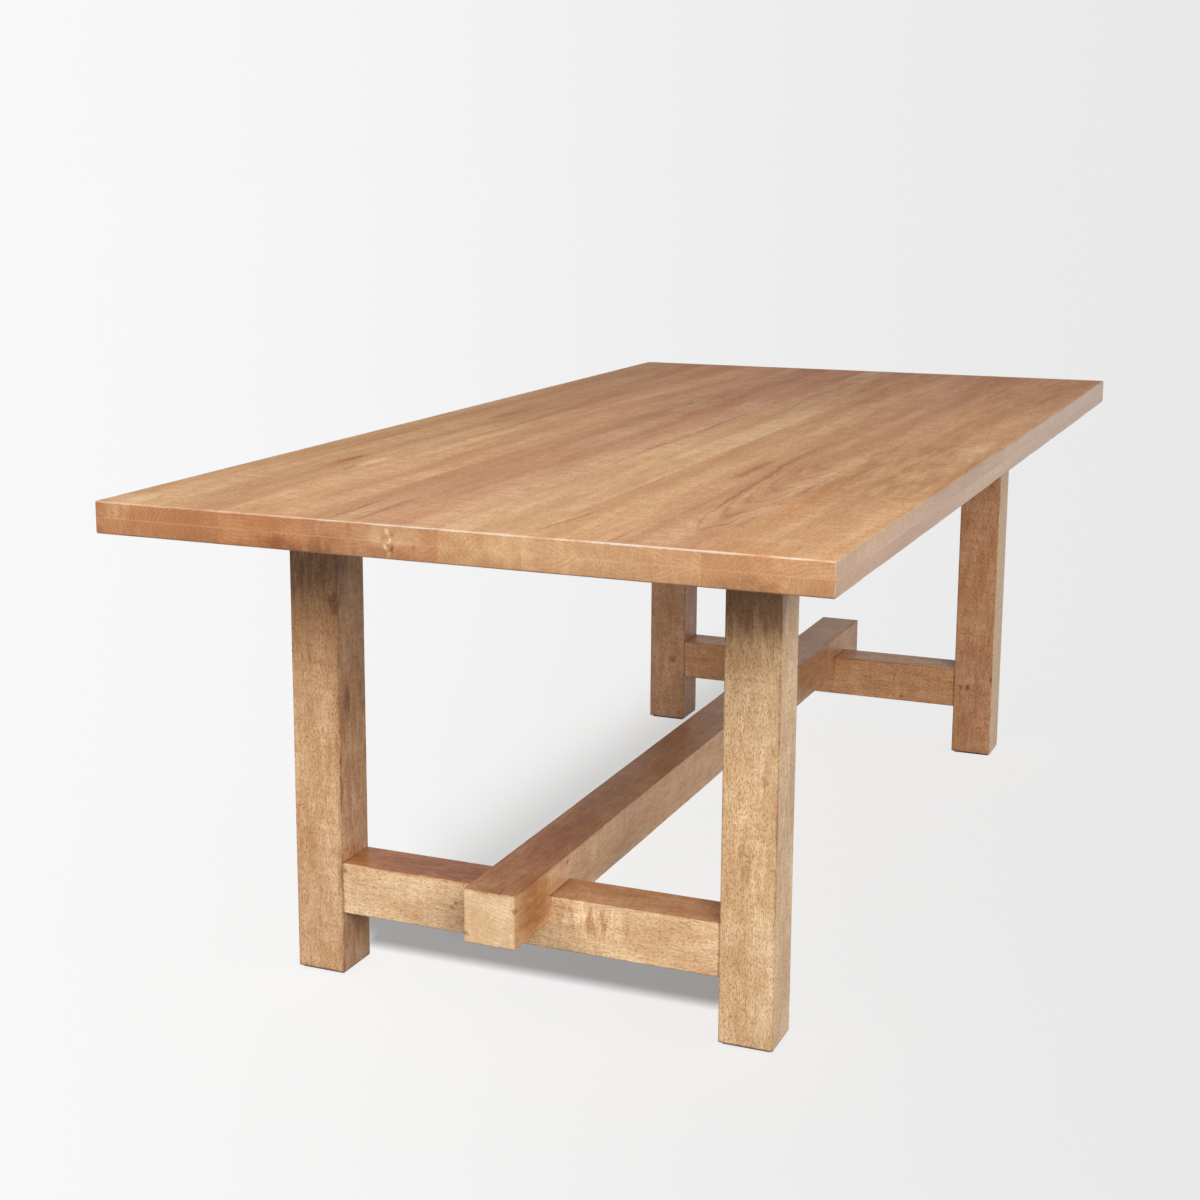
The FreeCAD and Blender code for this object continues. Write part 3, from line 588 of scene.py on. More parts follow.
def timber_piece(node, box, rim, radius, grain_axis, material):
    """A sawn timber in the place of a CAD node, eased along the outer edges of the rim's box and worn back a little
    in places."""
    name = node + "_timber"
    shape_sizes = bpy.context.scene.trestle_shape
    low, high = box
    shape = bmesh.new()
    bmesh.ops.create_cube(shape, size=1.0)
    bmesh.ops.scale(shape, vec=high - low, verts=shape.verts)
    bmesh.ops.translate(shape, vec=(low + high) / 2, verts=shape.verts)
    eased = [edge for edge in shape.edges
             if len(outer_faces((edge.verts[0].co + edge.verts[1].co) / 2, rim, TOUCH)) > 1]
    bmesh.ops.bevel(shape, geom=eased, offset=radius, segments=EASE_SEGMENTS, profile=0.5, affect="EDGES", material=-1)
    axis = "XYZ".index(grain_axis)
    across = Vector(float(axis == other) for other in range(3))
    count = math.ceil((high[axis] - low[axis]) / shape_sizes.rub_step)
    for number in range(1, count):
        place = low.lerp(high, number / count)
        everything = [*shape.verts, *shape.edges, *shape.faces]
        bmesh.ops.bisect_plane(shape, geom=everything, plane_co=place, plane_no=across)
    middle = (rim[0] + rim[1]) / 2
    for vert in shape.verts:
        near = outer_faces(vert.co, rim, radius * RUB_PART)
        if len(near) > 1:
            worn = shape_sizes.rub_depth * max(0.0, noise.noise(vert.co * RUB_PITCH) + RUB_LEAST)
            for side in near:
                vert.co[side] += math.copysign(worn, middle[side] - vert.co[side])
    for face in shape.faces:
        face.smooth = True
    mesh = bpy.data.meshes.new(name)
    shape.to_mesh(mesh)
    shape.free()
    mesh.set_sharp_from_angle(angle=SHARP_ANGLE)
    mesh.materials.append(material)
    piece = place_object(name, mesh)
    piece.modifiers.new("Even shading", "WEIGHTED_NORMAL").keep_sharp = True
    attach(piece, "root")
    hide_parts(node)


def dress_node(node, material):
    """Give a CAD node that stays as it is a better material."""
    shown = frame["nodes"][node]
    for slot in shown.material_slots:
        slot.material = material


# Pieces

# How the stain of each board differs from that of the whole top, and how it darkens on the end grain.
BOARD_TINTS = ((0.98, 0.99, 0.97), (0.97, 0.96, 0.93), (1.03, 1.00, 0.98), (0.97, 0.93, 0.96), (1.07, 1.12, 1.12),
               (1.03, 1.03, 1.0), (0.95, 0.91, 0.90), (0.99, 0.95, 0.89))
END_TINTS = ((0.94, 0.73, 0.63), (0.95, 0.76, 0.66), (0.89, 0.70, 0.58), (0.97, 0.85, 0.75), (1.03, 0.96, 0.86),
             (1.13, 1.14, 1.14), (1.15, 1.17, 1.13), (1.07, 1.03, 1.00))

# Painted sheen on the upper face of the top towards the far end.
FAR_SHEEN_TINT = (1.0, 0.95, 1.04)

# Half the length of the top, and the dark shade along the lower half of both its ends.
HALF_LENGTH = 1.075
END_SHADES = [Patch((end, 0.0, 0.705), (0.03, 2.0, 0.034), 0.2) for end in (-HALF_LENGTH, HALF_LENGTH)]


def end_patch(y, z, reach_y, reach_z, strength):
    """A patch on the near end of the top."""
    return Patch((-HALF_LENGTH, y, z), (0.02, reach_y, reach_z), strength)


def upper_patch(x, y, reach_x, reach_y, strength):
    """A patch on the upper face of the top."""
    return Patch((x, y, 0.762), (reach_x, reach_y, 0.05), strength)


# Marks of the boards, in metres along the table from its middle and across it from its middle line.
BOARD_MARKS = {
    1: {"pale": [Mark(-1.035, 0.495, 0.06, 0.035, 0.5)]},
    2: {
        "dark": [Mark(-0.585, 0.394, 0.07, 0.010, 0.75), Mark(-0.67, 0.351, 0.025, 0.005, 0.7),
                 Mark(0.075, 0.41, 0.17, 0.018, 0.45)],
        "pale": [Mark(-0.595, 0.347, 0.07, 0.014, 0.3), Mark(-0.325, 0.36, 0.55, 0.03, 0.25)],
        "warm": [Mark(-0.61, 0.385, 0.10, 0.022, 0.7)],
    },
    3: {
        "pale": [Mark(-0.325, 0.31, 0.3, 0.018, 0.3)],
        "dark": [end_patch(0.222, 0.722, 0.06, 0.02, 0.4)],
    },
    4: {
        "pale": [end_patch(0.07, 0.752, 0.005, 0.006, 0.8), end_patch(0.066, 0.742, 0.004, 0.007, 0.7),
                 end_patch(0.072, 0.732, 0.005, 0.006, 0.8), end_patch(0.067, 0.723, 0.004, 0.005, 0.7),
                 end_patch(0.065, 0.748, 0.06, 0.022, 0.42)],
        "dark": [end_patch(0.165, 0.725, 0.04, 0.025, 0.4), end_patch(0.031, 0.739, 0.003, 0.012, 0.5),
                 end_patch(0.062, 0.748, 0.003, 0.007, 0.7), end_patch(0.075, 0.741, 0.003, 0.006, 0.6),
                 end_patch(0.063, 0.73, 0.003, 0.008, 0.7), Mark(0.225, 0.145, 0.45, 0.055, 0.3),
                 Mark(-0.985, 0.165, 0.12, 0.006, 0.45), Mark(-0.985, 0.125, 0.13, 0.008, 0.4),
                 Mark(0.315, 0.15, 0.045, 0.0035, 1.6), Mark(0.575, 0.15, 0.035, 0.003, 1.5),
                 Mark(0.175, 0.095, 0.11, 0.01, 0.3), Mark(0.05, 0.003, 0.55, 0.006, 0.42),
                 upper_patch(0.75, 0.0, 0.6, 0.3, 0.12)],
        "warm": [Mark(0.45, 0.135, 0.05, 0.02, 0.6), Mark(0.175, 0.095, 0.11, 0.01, 0.6),
                 end_patch(0.068, 0.739, 0.014, 0.026, 0.8)],
    },
    5: {
        "pale": [Mark(-0.475, -0.068, 0.47, 0.03, 0.2), Mark(-0.275, -0.075, 0.17, 0.012, 0.2),
                 Mark(-0.845, -0.037, 0.11, 0.01, 0.25), Mark(-0.86, -0.1, 0.035, 0.016, 0.25),
                 upper_patch(-0.8, -0.06, 0.4, 0.09, 0.13), end_patch(-0.105, 0.745, 0.05, 0.03, 0.3)],
        "dark": [upper_patch(0.75, -0.06, 0.6, 0.12, 0.3)],
        "warm": [Mark(-0.44, -0.035, 0.27, 0.005, 0.5)],
    },
    6: {
        "dark": [Mark(-0.45, -0.22, 0.14, 0.011, 0.4), Mark(-0.9625, -0.136, 0.11, 0.005, 0.5, -0.113),
                 upper_patch(0.75, -0.18, 0.6, 0.1, 0.14), upper_patch(0.05, -0.18, 0.3, 0.1, 0.06)],
        "pale": [Mark(-0.95, -0.128, 0.09, 0.006, 0.25, -0.11), end_patch(-0.105, 0.745, 0.05, 0.03, 0.3)],
        "warm": [Mark(-0.45, -0.22, 0.14, 0.011, 0.5)],
    },
    7: {
        "dark": [Mark(-0.615, -0.354, 0.07, 0.009, 0.45), Mark(-0.87, -0.354, 0.06, 0.008, 0.4),
                 Mark(-0.22, -0.354, 0.09, 0.009, 0.4), Mark(-0.55, -0.268, 0.45, 0.006, 0.4, 0.06, -0.02),
                 Cathedral(-0.945, -0.315, 155.0, 0.11, 1.1, 0.42)],
    },
    8: {
        "dark": [Mark(-0.65, -0.378, 0.36, 0.013, 0.2), upper_patch(-0.35, -0.44, 0.55, 0.14, 0.42),
                 upper_patch(0.7, -0.44, 0.5, 0.14, 0.12), end_patch(-0.42, 0.722, 0.06, 0.018, 0.3)],
        "pale": [Mark(-0.985, -0.44, 0.025, 0.07, 0.2), Mark(-0.125, -0.495, 0.16, 0.03, 0.3)],
        "warm": [Mark(-0.65, -0.378, 0.36, 0.015, 0.5), Mark(-1.05, -0.44, 0.035, 0.08, 0.3)],
    },
}

# Places along the table: the near faces and the middles of the left and right trestles.
LEFT_FACE, LEFT_MIDDLE, RIGHT_FACE, RIGHT_MIDDLE = -0.805, -0.765, 0.725, 0.765


def joint_lines_and_shade(x):
    """Dark lines where a crossbar meets its legs and the stretcher: the dark joints, with painted contact shade in
    them.
    """
    at_legs = [Seam((x, y, 0.14), (0.2, 0.0035, 0.2), 0.8) for y in (0.3, -0.3)]
    at_stretcher = [Seam((x, y, 0.18), (0.2, 0.005, 0.04), 0.6) for y in (0.042, -0.042)]
    return at_legs + at_stretcher


# Knots, pin holes, joint lines with painted contact shade, tinted places, and painted shade and light on some faces of
# the frame.
FRAME_MARKS = {
    "leg_left_rear": {
        "dark": [Patch((LEFT_FACE, 0.305, 0.58), (0.012, 0.01, 0.022), 1.2),
                 Patch((LEFT_FACE, 0.313, 0.588), (0.008, 0.008, 0.014), 0.7),
                 Patch((-0.782, 0.3, 0.421), (0.012, 0.01, 0.038), 0.7),
                 Patch((-0.782, 0.3, 0.421), (0.005, 0.006, 0.01), 1.0),
                 # Painted shadow of the top on the upper end of the near face; then painted shade on the inner face,
                 # and painted contact shade at its foot.
                 Patch((LEFT_FACE, 0.34, 0.69), (0.06, 0.1, 0.17), 0.95),
                 Seam((LEFT_MIDDLE, 0.3, 0.25), (0.25, 0.012, 0.5), 0.35),
                 Seam((LEFT_MIDDLE, 0.298, 0.06), (0.08, 0.008, 0.09), 0.14)],
        "warm": [Patch((LEFT_FACE, 0.34, 0.52), (0.06, 0.1, 0.11), 0.25)],
    },
    "leg_left_front": {
        "dark": [Patch((LEFT_FACE, -0.361, 0.393), (0.006, 0.008, 0.012), 0.5),
                 Patch((LEFT_FACE, -0.335, 0.276), (0.01, 0.014, 0.07), 0.4),
                 # Painted shadow of the top on the upper end of the near face.
                 Patch((LEFT_FACE, -0.34, 0.7), (0.03, 0.4, 0.135), 1.8),
                 Patch((LEFT_FACE, -0.34, 0.26), (0.06, 0.1, 0.12), 0.1),
                 Seam((LEFT_MIDDLE, -0.382, 0.35), (0.08, 0.008, 0.15), 0.18)],
        "warm": [Patch((LEFT_FACE, -0.34, 0.26), (0.06, 0.1, 0.12), 0.25),
                 Patch((LEFT_FACE, -0.34, 0.57), (0.03, 0.4, 0.09), 0.2)],
    },
    "leg_right_rear": {
        "dark": [Patch((RIGHT_FACE, 0.327, 0.14), (0.008, 0.01, 0.014), 0.9),
                 Patch((RIGHT_FACE, 0.376, 0.241), (0.006, 0.006, 0.01), 0.8)],
    },
    "leg_right_front": {
        "dark": [Patch((RIGHT_FACE, -0.328, 0.142), (0.006, 0.006, 0.009), 1.0),
                 Patch((RIGHT_FACE, -0.313, 0.143), (0.006, 0.005, 0.008), 0.9),
                 Patch((RIGHT_FACE, -0.379, 0.165), (0.006, 0.006, 0.009), 0.8),
                 Patch((RIGHT_FACE, -0.34, 0.15), (0.02, 0.06, 0.2), 0.12)],
        # Painted light and sheen on the front face of the leg.
        "pale": [Seam((RIGHT_MIDDLE, -0.381, 0.33), (0.2, 0.0045, 0.7), 1.3)],
    },
    "crossbar_left": {
        "dark": [Patch((LEFT_FACE, 0.295, 0.167), (0.006, 0.005, 0.006), 1.0),
                 Patch((LEFT_FACE, 0.114, 0.136), (0.005, 0.007, 0.005), 0.8),
                 Patch((LEFT_FACE, 0.108, 0.146), (0.005, 0.005, 0.004), 0.8),
                 # Painted shade on the upper face, under the top, in this patch and seam and in the warm ones below.
                 Patch((LEFT_MIDDLE, 0.16, 0.182), (0.08, 0.2, 0.01), 0.8),
                 Seam((LEFT_MIDDLE, 0.16, 0.182), (0.08, 0.2, 0.008), 0.1),
                 *joint_lines_and_shade(LEFT_MIDDLE)],
        "pale": [Patch((LEFT_FACE, -0.18, 0.14), (0.02, 0.14, 0.06), 0.16)],
        # Warm tone of the painted shade on the upper face.
        "warm": [Patch((LEFT_MIDDLE, 0.16, 0.182), (0.08, 0.2, 0.01), 1.0),
                 Seam((LEFT_MIDDLE, 0.16, 0.182), (0.08, 0.2, 0.008), 0.9)],
        "ripple": [Patch((LEFT_FACE, -0.11, 0.15), (0.02, 0.08, 0.032), 6.0)],
    },
    "crossbar_right": {
        "dark": [Patch((RIGHT_FACE, -0.189, 0.108), (0.006, 0.006, 0.006), 1.0), *joint_lines_and_shade(RIGHT_MIDDLE)],
    },
    "stretcher": {
        "dark": [Patch((-0.855, -0.045, 0.18), (0.075, 0.03, 0.07), 0.7),
                 Patch((-0.735, -0.04, 0.208), (0.006, 0.006, 0.005), 1.2),
                 Patch((-0.92, -0.038, 0.197), (0.01, 0.006, 0.006), 0.8),
                 Patch((-0.92, 0.037, 0.154), (0.01, 0.006, 0.006), 0.8),
                 # The marks at a height of 0.222 lie on the upper face: the dark and warm ones are painted shade under
                 # the top.
                 Patch((-0.7, 0.0, 0.222), (0.45, 0.08, 0.01), 0.75),
                 Patch((0.55, -0.04, 0.18), (0.5, 0.02, 0.1), 0.45),
                 Patch((-0.1, 0.0, 0.222), (0.4, 0.08, 0.01), 0.2),
                 Seam((-0.855, -0.041, 0.18), (0.08, 0.004, 0.06), 0.14),
                 Seam((0.45, -0.041, 0.18), (0.35, 0.004, 0.06), 0.16),
                 Seam((-0.7, 0.0, 0.222), (0.4, 0.08, 0.008), 0.1)],
        # Painted sheen on the far part of the upper face.
        "pale": [Seam((0.6, 0.0, 0.222), (0.35, 0.08, 0.008), 0.08)],
        "warm": [Patch((-0.855, -0.045, 0.18), (0.08, 0.03, 0.07), 1.2),
                 Patch((-0.7, 0.0, 0.222), (0.45, 0.08, 0.01), 0.6),
                 Patch((0.55, -0.04, 0.18), (0.5, 0.02, 0.1), 0.4),
                 Seam((-0.3, -0.041, 0.18), (0.5, 0.004, 0.06), 0.35),
                 Seam((0.45, -0.041, 0.18), (0.35, 0.004, 0.06), 0.3),
                 Seam((-0.7, 0.0, 0.222), (0.4, 0.08, 0.008), 0.15)],
    },
}

# How the colour of the pieces of the frame differs from that of the whole frame: on all faces, where the darker tints
# of the far trestle are partly painted shade; on the end grain; and on the upper face, where it is painted shade under
# the top.
FRAME_TINTS_AND_SHADE = {
    "leg_left_rear": (1.01, 0.97, 0.93), "leg_left_front": (1.09, 1.165, 1.18),
    "leg_right_rear": (0.825, 0.717, 0.72), "leg_right_front": (0.80, 0.64, 0.57),
    "crossbar_left": (1.18, 1.24, 1.26), "crossbar_right": (0.84, 0.685, 0.59), "stretcher": (0.98, 0.93, 0.88),
}
END_TINTS_FRAME = {"stretcher": (1.16, 1.31, 1.41)}
UPPER_SHADE_TINTS = {"crossbar_left": (0.67, 0.52, 0.45), "stretcher": (0.79, 0.67, 0.61)}

# How strongly the pores show, and how much the marks break up into flecks, in pieces smoother than the rest.
PORE_DEPTHS = {"stretcher": 0.5, "crossbar_left": 0.65}
MARK_FLECKS = {"stretcher": 0.25, "crossbar_left": 0.3}

# Where the heart of the log is, for pieces whose end grain shows, and for the rest of the frame.
FRAME_PITHS = {"stretcher": (0.0, 0.13, -0.45)}
FRAME_PITH = (0.0, 0.0, -0.3)

# How far apart in their logs the boards of the top are cut, and where along one long log the pieces of each other kind
# start and how far apart they are.
BOARD_STEP = (3.1, 1.7, 0.9)
LOG_PLACES = {"strip": (40.0, 7.0), "leg": (60.0, 5.0), "stretcher": (90.0, 0.0), "crossbar": (110.0, 5.0),
              "hidden": (130.0, 3.0)}


def log_place(kind, number=0):
    """The place in the log of one piece of a kind, counted from 0."""
    start, step = LOG_PLACES[kind]
    return (start + step * number, 0.0, 0.0)


def top_material(name, board, shift, marks, **more):
    """Wood of the top, with the stain of one of its boards, counted from 0."""
    wood = bpy.context.scene.trestle_wood
    tint = Vector(BOARD_TINTS[board])
    return timber_material(name, "X", shift, tint * Vector(wood.top_pale), tint * Vector(wood.top_deep),
                           box_of(BOARDS + STRIPS), marks=marks, glue_height=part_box(BOARDS[0])[0].z, **more)


def board_material(number):
    """The wood of one board of the top, which its end blocks are cut from too."""
    name = "board_%d_wood" % number
    found = bpy.data.materials.get(name)
    if found:
        return found
    low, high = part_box(BOARDS[number - 1])
    # The heart of the log lies in another direction under each board.
    pith = (0.0, (low.y + high.y) / 2 + 0.08 * math.sin(2.2 * number), -0.11 - 0.06 * math.cos(1.7 * number))
    marks = dict(BOARD_MARKS[number])
    marks["dark"] = [*marks.get("dark", ()), *END_SHADES]
    return top_material(name, number - 1, tuple(step * number for step in BOARD_STEP), marks, pith=pith,
                        figure={"End Tint": END_TINTS[number - 1], "Upper Tint": FAR_SHEEN_TINT})


def frame_material(node, grain_axis, shift, box, *painted_shades):
    """The wood of one piece of the frame, with its own marks and any more dark marks given, which are painted shade.
    """
    wood = bpy.context.scene.trestle_wood
    tint = Vector(FRAME_TINTS_AND_SHADE[node])
    plain = (1.0, 1.0, 1.0)
    marks = dict(FRAME_MARKS[node])
    marks["dark"] = [*marks["dark"], *painted_shades]
    figure = {"End Tint": END_TINTS_FRAME.get(node, plain), "Upper Tint": UPPER_SHADE_TINTS.get(node, plain),
              "Streak Depth": 0.45, "Pore Depth": PORE_DEPTHS.get(node, 0.8), "Pore Tint": (0.54, 0.33, 0.17),
              "End Pore Share": 0.1, "End Ring Depth": 0.38, "Ray Depth": 0.06,
              "Mark Fleck": MARK_FLECKS.get(node, 0.75)}
    grids = {"Band Grid": (8.0, 22.0, 22.0), "Streak Grid": (24.0, 120.0, 120.0), "Pore Grid": (230.0, 760.0, 760.0),
             "Ripple Grid": (85.0, 16.0, 16.0)}
    return timber_material(node + "_wood", grain_axis, shift, tint * Vector(wood.frame_pale),
                           tint * Vector(wood.frame_deep), box, pith=FRAME_PITHS.get(node, FRAME_PITH),
                           marks=marks, figure=figure, grids=grids)


class TRESTLE_OT_boards(bpy.types.Operator):
    """Build the boards of the top"""

    bl_idname = "trestle.boards"
    bl_label = "Top Boards"

    def execute(self, context):
        sizes = context.scene.trestle_shape
        rim = box_of(BOARDS + STRIPS)
        for number, node in enumerate(BOARDS, start=1):
            timber_piece(node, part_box(node), rim, sizes.rim_radius, "X", board_material(number))
        return {"FINISHED"}


class TRESTLE_OT_rim(bpy.types.Operator):
    """Build the strips and blocks that double the edge of the top"""

    bl_idname = "trestle.rim"
    bl_label = "Doubled Edge"

    def execute(self, context):
        sizes = context.scene.trestle_shape
        rim = box_of(BOARDS + STRIPS)
        for number, node in enumerate(STRIPS):
            beside = -number
            material = top_material(node + "_wood", beside, log_place("strip", number), {"dark": END_SHADES},
                                    figure={"End Tint": END_TINTS[beside]})
            timber_piece(node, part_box(node), rim, sizes.rim_radius, "X", material)
        for node in BLOCKS:
            board = int(node.rsplit("_", 1)[1]) + 1
            timber_piece(node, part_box(node), rim, sizes.rim_radius, "X", board_material(board))
        return {"FINISHED"}


class TRESTLE_OT_legs(bpy.types.Operator):
    """Build the four legs"""

    bl_idname = "trestle.legs"
    bl_label = "Legs"

    def execute(self, context):
        sizes = context.scene.trestle_shape
        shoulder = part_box("bearer_left")[0].z
        for number, node in enumerate(LEGS):
            low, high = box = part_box(node)
            high.z = shoulder
            # A dark band at the foot of the leg: painted contact shade, which also stands in for the dark pad under
            # it.
            foot_shade = Seam(((low.x + high.x) / 2, (low.y + high.y) / 2, low.z), (1.0, 1.0, 0.004), 0.7)
            material = frame_material(node, "Z", log_place("leg", number), box, foot_shade)
            timber_piece(node, box, box, sizes.frame_radius, "Z", material)
        return {"FINISHED"}


class TRESTLE_OT_stretcher(bpy.types.Operator):
    """Build the stretcher"""

    bl_idname = "trestle.stretcher"
    bl_label = "Stretcher"

    def execute(self, context):
        sizes = context.scene.trestle_shape
        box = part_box("stretcher")
        material = frame_material("stretcher", "X", log_place("stretcher"), box)
        timber_piece("stretcher", box, box, sizes.frame_radius, "X", material)
        return {"FINISHED"}


class TRESTLE_OT_crossbars(bpy.types.Operator):
    """Finish the crossbars, whose housings and bolt holes stay as they are"""

    bl_idname = "trestle.crossbars"
    bl_label = "Crossbars"

    def execute(self, context):
        for number, node in enumerate(CROSSBARS):
            dress_node(node, frame_material(node, "Y", log_place("crossbar", number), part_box(node)))
        return {"FINISHED"}


class TRESTLE_OT_hidden_timbers(bpy.types.Operator):
    """Finish the bearers, the batten and the splines under the top"""

    bl_idname = "trestle.hidden_timbers"
    bl_label = "Bearers, Batten and Splines"

    def execute(self, context):
        wood = context.scene.trestle_wood
        for number, node in enumerate(HIDDEN_TIMBERS):
            axis = "X" if node.startswith("spline") else "Y"
            material = timber_material(node + "_wood", axis, log_place("hidden", number), wood.inner_pale,
                                       wood.inner_deep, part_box(node))
            dress_node(node, material)
        return {"FINISHED"}


def build_specks(name):
    """Fine specks and scratches, for rubber and metal."""
    wires, given = start_group(name, {"Place": (0.0, 0.0, 0.0), "Scale": 900.0}, {"Specks": "Float"})
    specks = wires.node("ShaderNodeTexNoise", {"Vector": given["Place"], "Scale": given["Scale"], "Detail": 4.0})
    return end_group(wires, {"Specks": wires.ease(specks.outputs["Fac"], 0.3, 0.7)})


def plain_material(name, base, metallic, rough_low, rough_high):
    """Rubber or metal with fine specks in its colour and gloss."""
    material, wires, surface = start_material(name)
    place = wires.node("ShaderNodeTexCoord").outputs["Object"]
    specks = wires.group(shared("Specks", build_specks), {"Place": place})["Specks"]
    bump = wires.node("ShaderNodeBump", {"Height": specks, "Strength": 0.2, "Distance": 0.0002})
    wires.fill(surface, {
        "Base Color": wires.scale(tuple(base), wires.ease(specks, 0.0, 1.0, 0.8, 1.1)),
        "Roughness": wires.ease(specks, 0.0, 1.0, rough_low, rough_high),
        "Normal": bump.outputs["Normal"], "Metallic": metallic})
    return material


class TRESTLE_OT_foot_pads(bpy.types.Operator):
    """Finish the rubber pads under the legs"""

    bl_idname = "trestle.foot_pads"
    bl_label = "Foot Pads"

    def execute(self, context):
        rubber = plain_material("pad_rubber_finish", context.scene.trestle_wood.rubber, 0.0, 0.6, 0.85)
        for node in PADS:
            dress_node(node, rubber)
        return {"FINISHED"}


class TRESTLE_OT_fasteners(bpy.types.Operator):
    """Finish the bolts, washers, screws and threaded inserts"""

    bl_idname = "trestle.fasteners"
    bl_label = "Fasteners"

    def execute(self, context):
        wood = context.scene.trestle_wood
        steel = plain_material("zinced_steel", wood.steel, 1.0, 0.3, 0.5)
        brass = plain_material("turned_brass", wood.brass, 1.0, 0.25, 0.4)
        for node in STEEL:
            dress_node(node, steel)
        for node in BRASS:
            dress_node(node, brass)
        return {"FINISHED"}


# Stage

Lamp = namedtuple("Lamp", "name place size power")
LAMPS = (
    Lamp("key", (-4.56, -3.41, 3.27), 3.0, 248.0),
    Lamp("fill", (-3.84, 1.56, 3.03), 2.0, 81.0),
    Lamp("side", (-1.51, -3.76, 2.70), 2.0, 39.0),
    Lamp("overhead", (-1.33, 0.0, 3.54), 2.0, 32.0),
)
LAMP_AIM = Vector((-0.5, 0.0, 0.45))

# Lamps that only the floor shows: how much light they give it, their height above the horizon, their turn from the
# near end to the front and their width in the sky, in degrees, and the node that casts their shadow.
FloorLamp = namedtuple("FloorLamp", "name light height side width caster")
FLOOR_LAMPS = (
    FloorLamp("floor_main", 2.15, 38.7, 16.0, 10.0, "crossbar_left"),
    FloorLamp("floor_side", 0.95, 16.8, 30.0, 9.6, "stretcher"),
)

# How far to each side, as a part of a sight line, the backdrop goes on changing.
BACKDROP_SPAN = 0.34

# How wide the floor is, how near to the table it darkens, and how much of its light is left where they meet.
FLOOR_RADIUS = 400.0
CONTACT_REACH = 0.07
CONTACT_LIGHT = 0.4


def seen_directly(wires):
    """1 for rays that show the floor or the backdrop as it is: those of the camera, and through gloss or glass."""
    path = wires.node("ShaderNodeLightPath").outputs
    gloss = wires.math("MAXIMUM", path["Is Glossy Ray"], path["Is Transmission Ray"])
    return wires.math("MAXIMUM", path["Is Camera Ray"], gloss)


def backdrop_colour(wires, direction):
    """The colour of the backdrop in a direction, from its left side to its right."""
    stage = bpy.context.scene.trestle_stage
    heading = stage.camera_turn[2]
    right = (math.cos(heading), math.sin(heading), 0.0)
    side = wires.measure("DOT_PRODUCT", direction, right)
    share = wires.ease(side, -BACKDROP_SPAN, BACKDROP_SPAN)
    return wires.blend(share, opaque(stage.backdrop_left), opaque(stage.backdrop_right))


def build_floor():
    """A wide pale floor that keeps the shadows of the table."""
    stage = bpy.context.scene.trestle_stage
    shape = bmesh.new()
    bmesh.ops.create_circle(shape, cap_ends=True, segments=96, radius=FLOOR_RADIUS)
    mesh = bpy.data.meshes.new("floor")
    shape.to_mesh(mesh)
    shape.free()
    floor = place_object("floor", mesh)

    material, wires, paint = start_material("floor_paint")
    wires.fill(paint, {"Base Color": opaque(stage.floor), "Roughness": 1.0, "Specular IOR Level": 0.0})
    place = wires.node("ShaderNodeTexCoord").outputs["Object"]
    ray = wires.vector("NORMALIZE", wires.vector("SUBTRACT", place, tuple(stage.camera_place)))
    backdrop = backdrop_colour(wires, ray)
    open_light = stage.sky + sum(stage.floor_level * item.light for item in FLOOR_LAMPS)
    kept = [stage.shadow_share * open_light] * 3
    # Painted contact shade: near the table the glow of the floor is darkened by ambient occlusion.
    contact = wires.node("ShaderNodeAmbientOcclusion", {"Distance": CONTACT_REACH}, samples=8).outputs["AO"]
    glow_colour = wires.scale(wires.vector("SUBTRACT", backdrop, kept),
                              wires.ease(contact, 0.0, 1.0, CONTACT_LIGHT, 1.0))
    glow = wires.node("ShaderNodeEmission", {"Color": glow_colour, "Strength": 1.0}).outputs[0]
    white = wires.node("ShaderNodeBsdfDiffuse", {"Color": opaque([stage.shadow_share] * 3)}).outputs[0]
    shown = wires.node("ShaderNodeAddShader", {0: glow, 1: white}).outputs[0]
    lit = wires.node("ShaderNodeMixShader", {0: seen_directly(wires), 1: paint.outputs[0], 2: shown}).outputs[0]
    clear = wires.node("ShaderNodeBsdfTransparent").outputs[0]
    below = wires.node("ShaderNodeNewGeometry").outputs["Backfacing"]
    sided = wires.node("ShaderNodeMixShader", {0: below, 1: lit, 2: clear}).outputs[0]
    wires.feed(material.node_tree.nodes["Material Output"].inputs["Surface"], sided)
    mesh.materials.append(material)


def build_sky():
    """Even light from all round, and the backdrop that the camera sees."""
    stage = bpy.context.scene.trestle_stage
    world = bpy.data.worlds.new("studio")
    bpy.context.scene.world = world
    world.use_nodes = True
    wires = Wiring(world.node_tree)
    light = world.node_tree.nodes["Background"]
    wires.fill(light, {"Color": (1.0, 1.0, 1.0, 1.0), "Strength": stage.sky})
    direction = wires.node("ShaderNodeTexCoord").outputs["Generated"]
    shown = wires.node("ShaderNodeBackground", {"Color": backdrop_colour(wires, direction), "Strength": 1.0})
    mixed = wires.node("ShaderNodeMixShader", {0: seen_directly(wires), 1: light.outputs[0], 2: shown.outputs[0]})
    wires.feed(world.node_tree.nodes["World Output"].inputs["Surface"], mixed.outputs[0])


def build_lamps():
    """The wide soft lamps, which all point at the near half of the table."""
    for item in LAMPS:
        light = bpy.data.lights.new(item.name, "AREA")
        light.energy = bpy.context.scene.trestle_stage.lamp_level * item.power
        light.size = item.size
        lamp = place_object(item.name, light)
        lamp.location = item.place
        lamp.rotation_euler = (LAMP_AIM - lamp.location).to_track_quat("-Z", "Y").to_euler()
        lamp.visible_camera = False


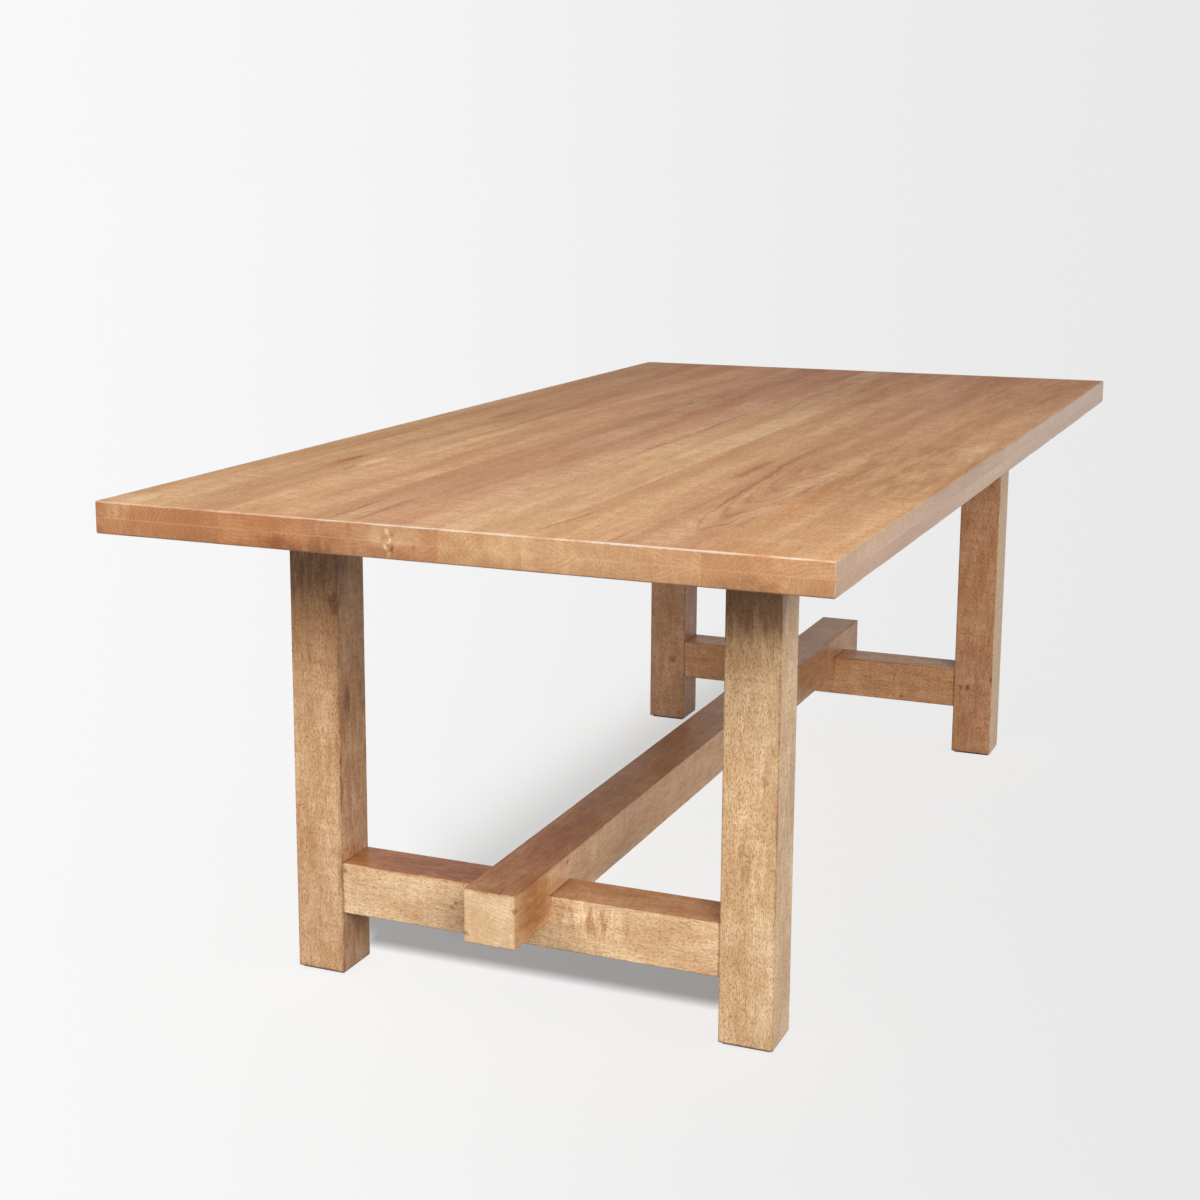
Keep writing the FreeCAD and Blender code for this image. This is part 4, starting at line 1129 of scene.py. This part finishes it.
def build_floor_lamps():
    """The lamps that light the floor alone. Each draws the shadow of one piece of the lower frame."""
    stage = bpy.context.scene.trestle_stage
    table = bpy.data.collections.new("table")
    for piece in bpy.context.scene.objects:
        if piece.type == "MESH" and piece.name != "floor":
            table.objects.link(piece)
    for lamp in [item for item in bpy.context.scene.objects if item.type == "LIGHT"]:
        lamp.light_linking.receiver_collection = table
    ground = bpy.data.collections.new("ground")
    ground.objects.link(bpy.data.objects["floor"])
    for item in FLOOR_LAMPS:
        height = math.radians(item.height)
        light = bpy.data.lights.new(item.name, "SUN")
        light.energy = stage.floor_level * item.light * math.pi / math.sin(height)
        light.angle = math.radians(item.width)
        lamp = place_object(item.name, light)
        lamp.rotation_euler = (0.0, height - math.pi / 2, math.radians(item.side))
        caster = bpy.data.collections.new(item.name + "_caster")
        caster.objects.link(bpy.data.objects.get(item.caster + "_timber") or frame["nodes"][item.caster])
        lamp.light_linking.receiver_collection = ground
        lamp.light_linking.blocker_collection = caster


def build_camera():
    """The camera at the viewpoint of the photograph."""
    stage = bpy.context.scene.trestle_stage
    lens = bpy.data.cameras.new("camera")
    lens.sensor_width = 36.0
    lens.lens = stage.lens
    lens.shift_x, lens.shift_y = stage.shift
    camera = place_object("camera", lens)
    camera.location = stage.camera_place
    camera.rotation_euler = stage.camera_turn
    bpy.context.scene.camera = camera


class TRESTLE_OT_stage(bpy.types.Operator):
    """Set up the floor, the lights and the camera"""

    bl_idname = "trestle.stage"
    bl_label = "Stage"

    def execute(self, context):
        build_floor()
        build_sky()
        build_lamps()
        build_floor_lamps()
        build_camera()
        context.scene.view_settings.view_transform = "Standard"
        return {"FINISHED"}


class TRESTLE_PT_sidebar(bpy.types.Panel):
    """Steps and settings of the trestle table"""

    bl_label = "Trestle Table"
    bl_idname = "TRESTLE_PT_sidebar"
    bl_space_type = "VIEW_3D"
    bl_region_type = "UI"
    bl_category = "Trestle Table"

    def draw(self, context):
        for step in STEPS:
            self.layout.operator(step.bl_idname)
        for settings in (context.scene.trestle_shape, context.scene.trestle_wood, context.scene.trestle_stage):
            box = self.layout.box()
            for name in settings.__annotations__:
                box.prop(settings, name)


SETTINGS = (TrestleShape, TrestleWood, TrestleStage)
STEPS = (TRESTLE_OT_boards, TRESTLE_OT_rim, TRESTLE_OT_legs, TRESTLE_OT_stretcher, TRESTLE_OT_crossbars,
         TRESTLE_OT_hidden_timbers, TRESTLE_OT_foot_pads, TRESTLE_OT_fasteners, TRESTLE_OT_stage)


def register():
    for item in (*SETTINGS, *STEPS, TRESTLE_PT_sidebar):
        bpy.utils.register_class(item)
    bpy.types.Scene.trestle_shape = PointerProperty(type=TrestleShape)
    bpy.types.Scene.trestle_wood = PointerProperty(type=TrestleWood)
    bpy.types.Scene.trestle_stage = PointerProperty(type=TrestleStage)


def unregister():
    del bpy.types.Scene.trestle_stage, bpy.types.Scene.trestle_wood, bpy.types.Scene.trestle_shape
    for item in (TRESTLE_PT_sidebar, *reversed(STEPS), *reversed(SETTINGS)):
        bpy.utils.unregister_class(item)


def main():
    """Build the dressed table and its stage."""
    register()
    bpy.ops.trestle.boards()
    bpy.ops.trestle.rim()
    bpy.ops.trestle.legs()
    bpy.ops.trestle.stretcher()
    bpy.ops.trestle.crossbars()
    bpy.ops.trestle.hidden_timbers()
    bpy.ops.trestle.foot_pads()
    bpy.ops.trestle.fasteners()
    bpy.ops.trestle.stage()


if __name__ == "__main__":
    main()
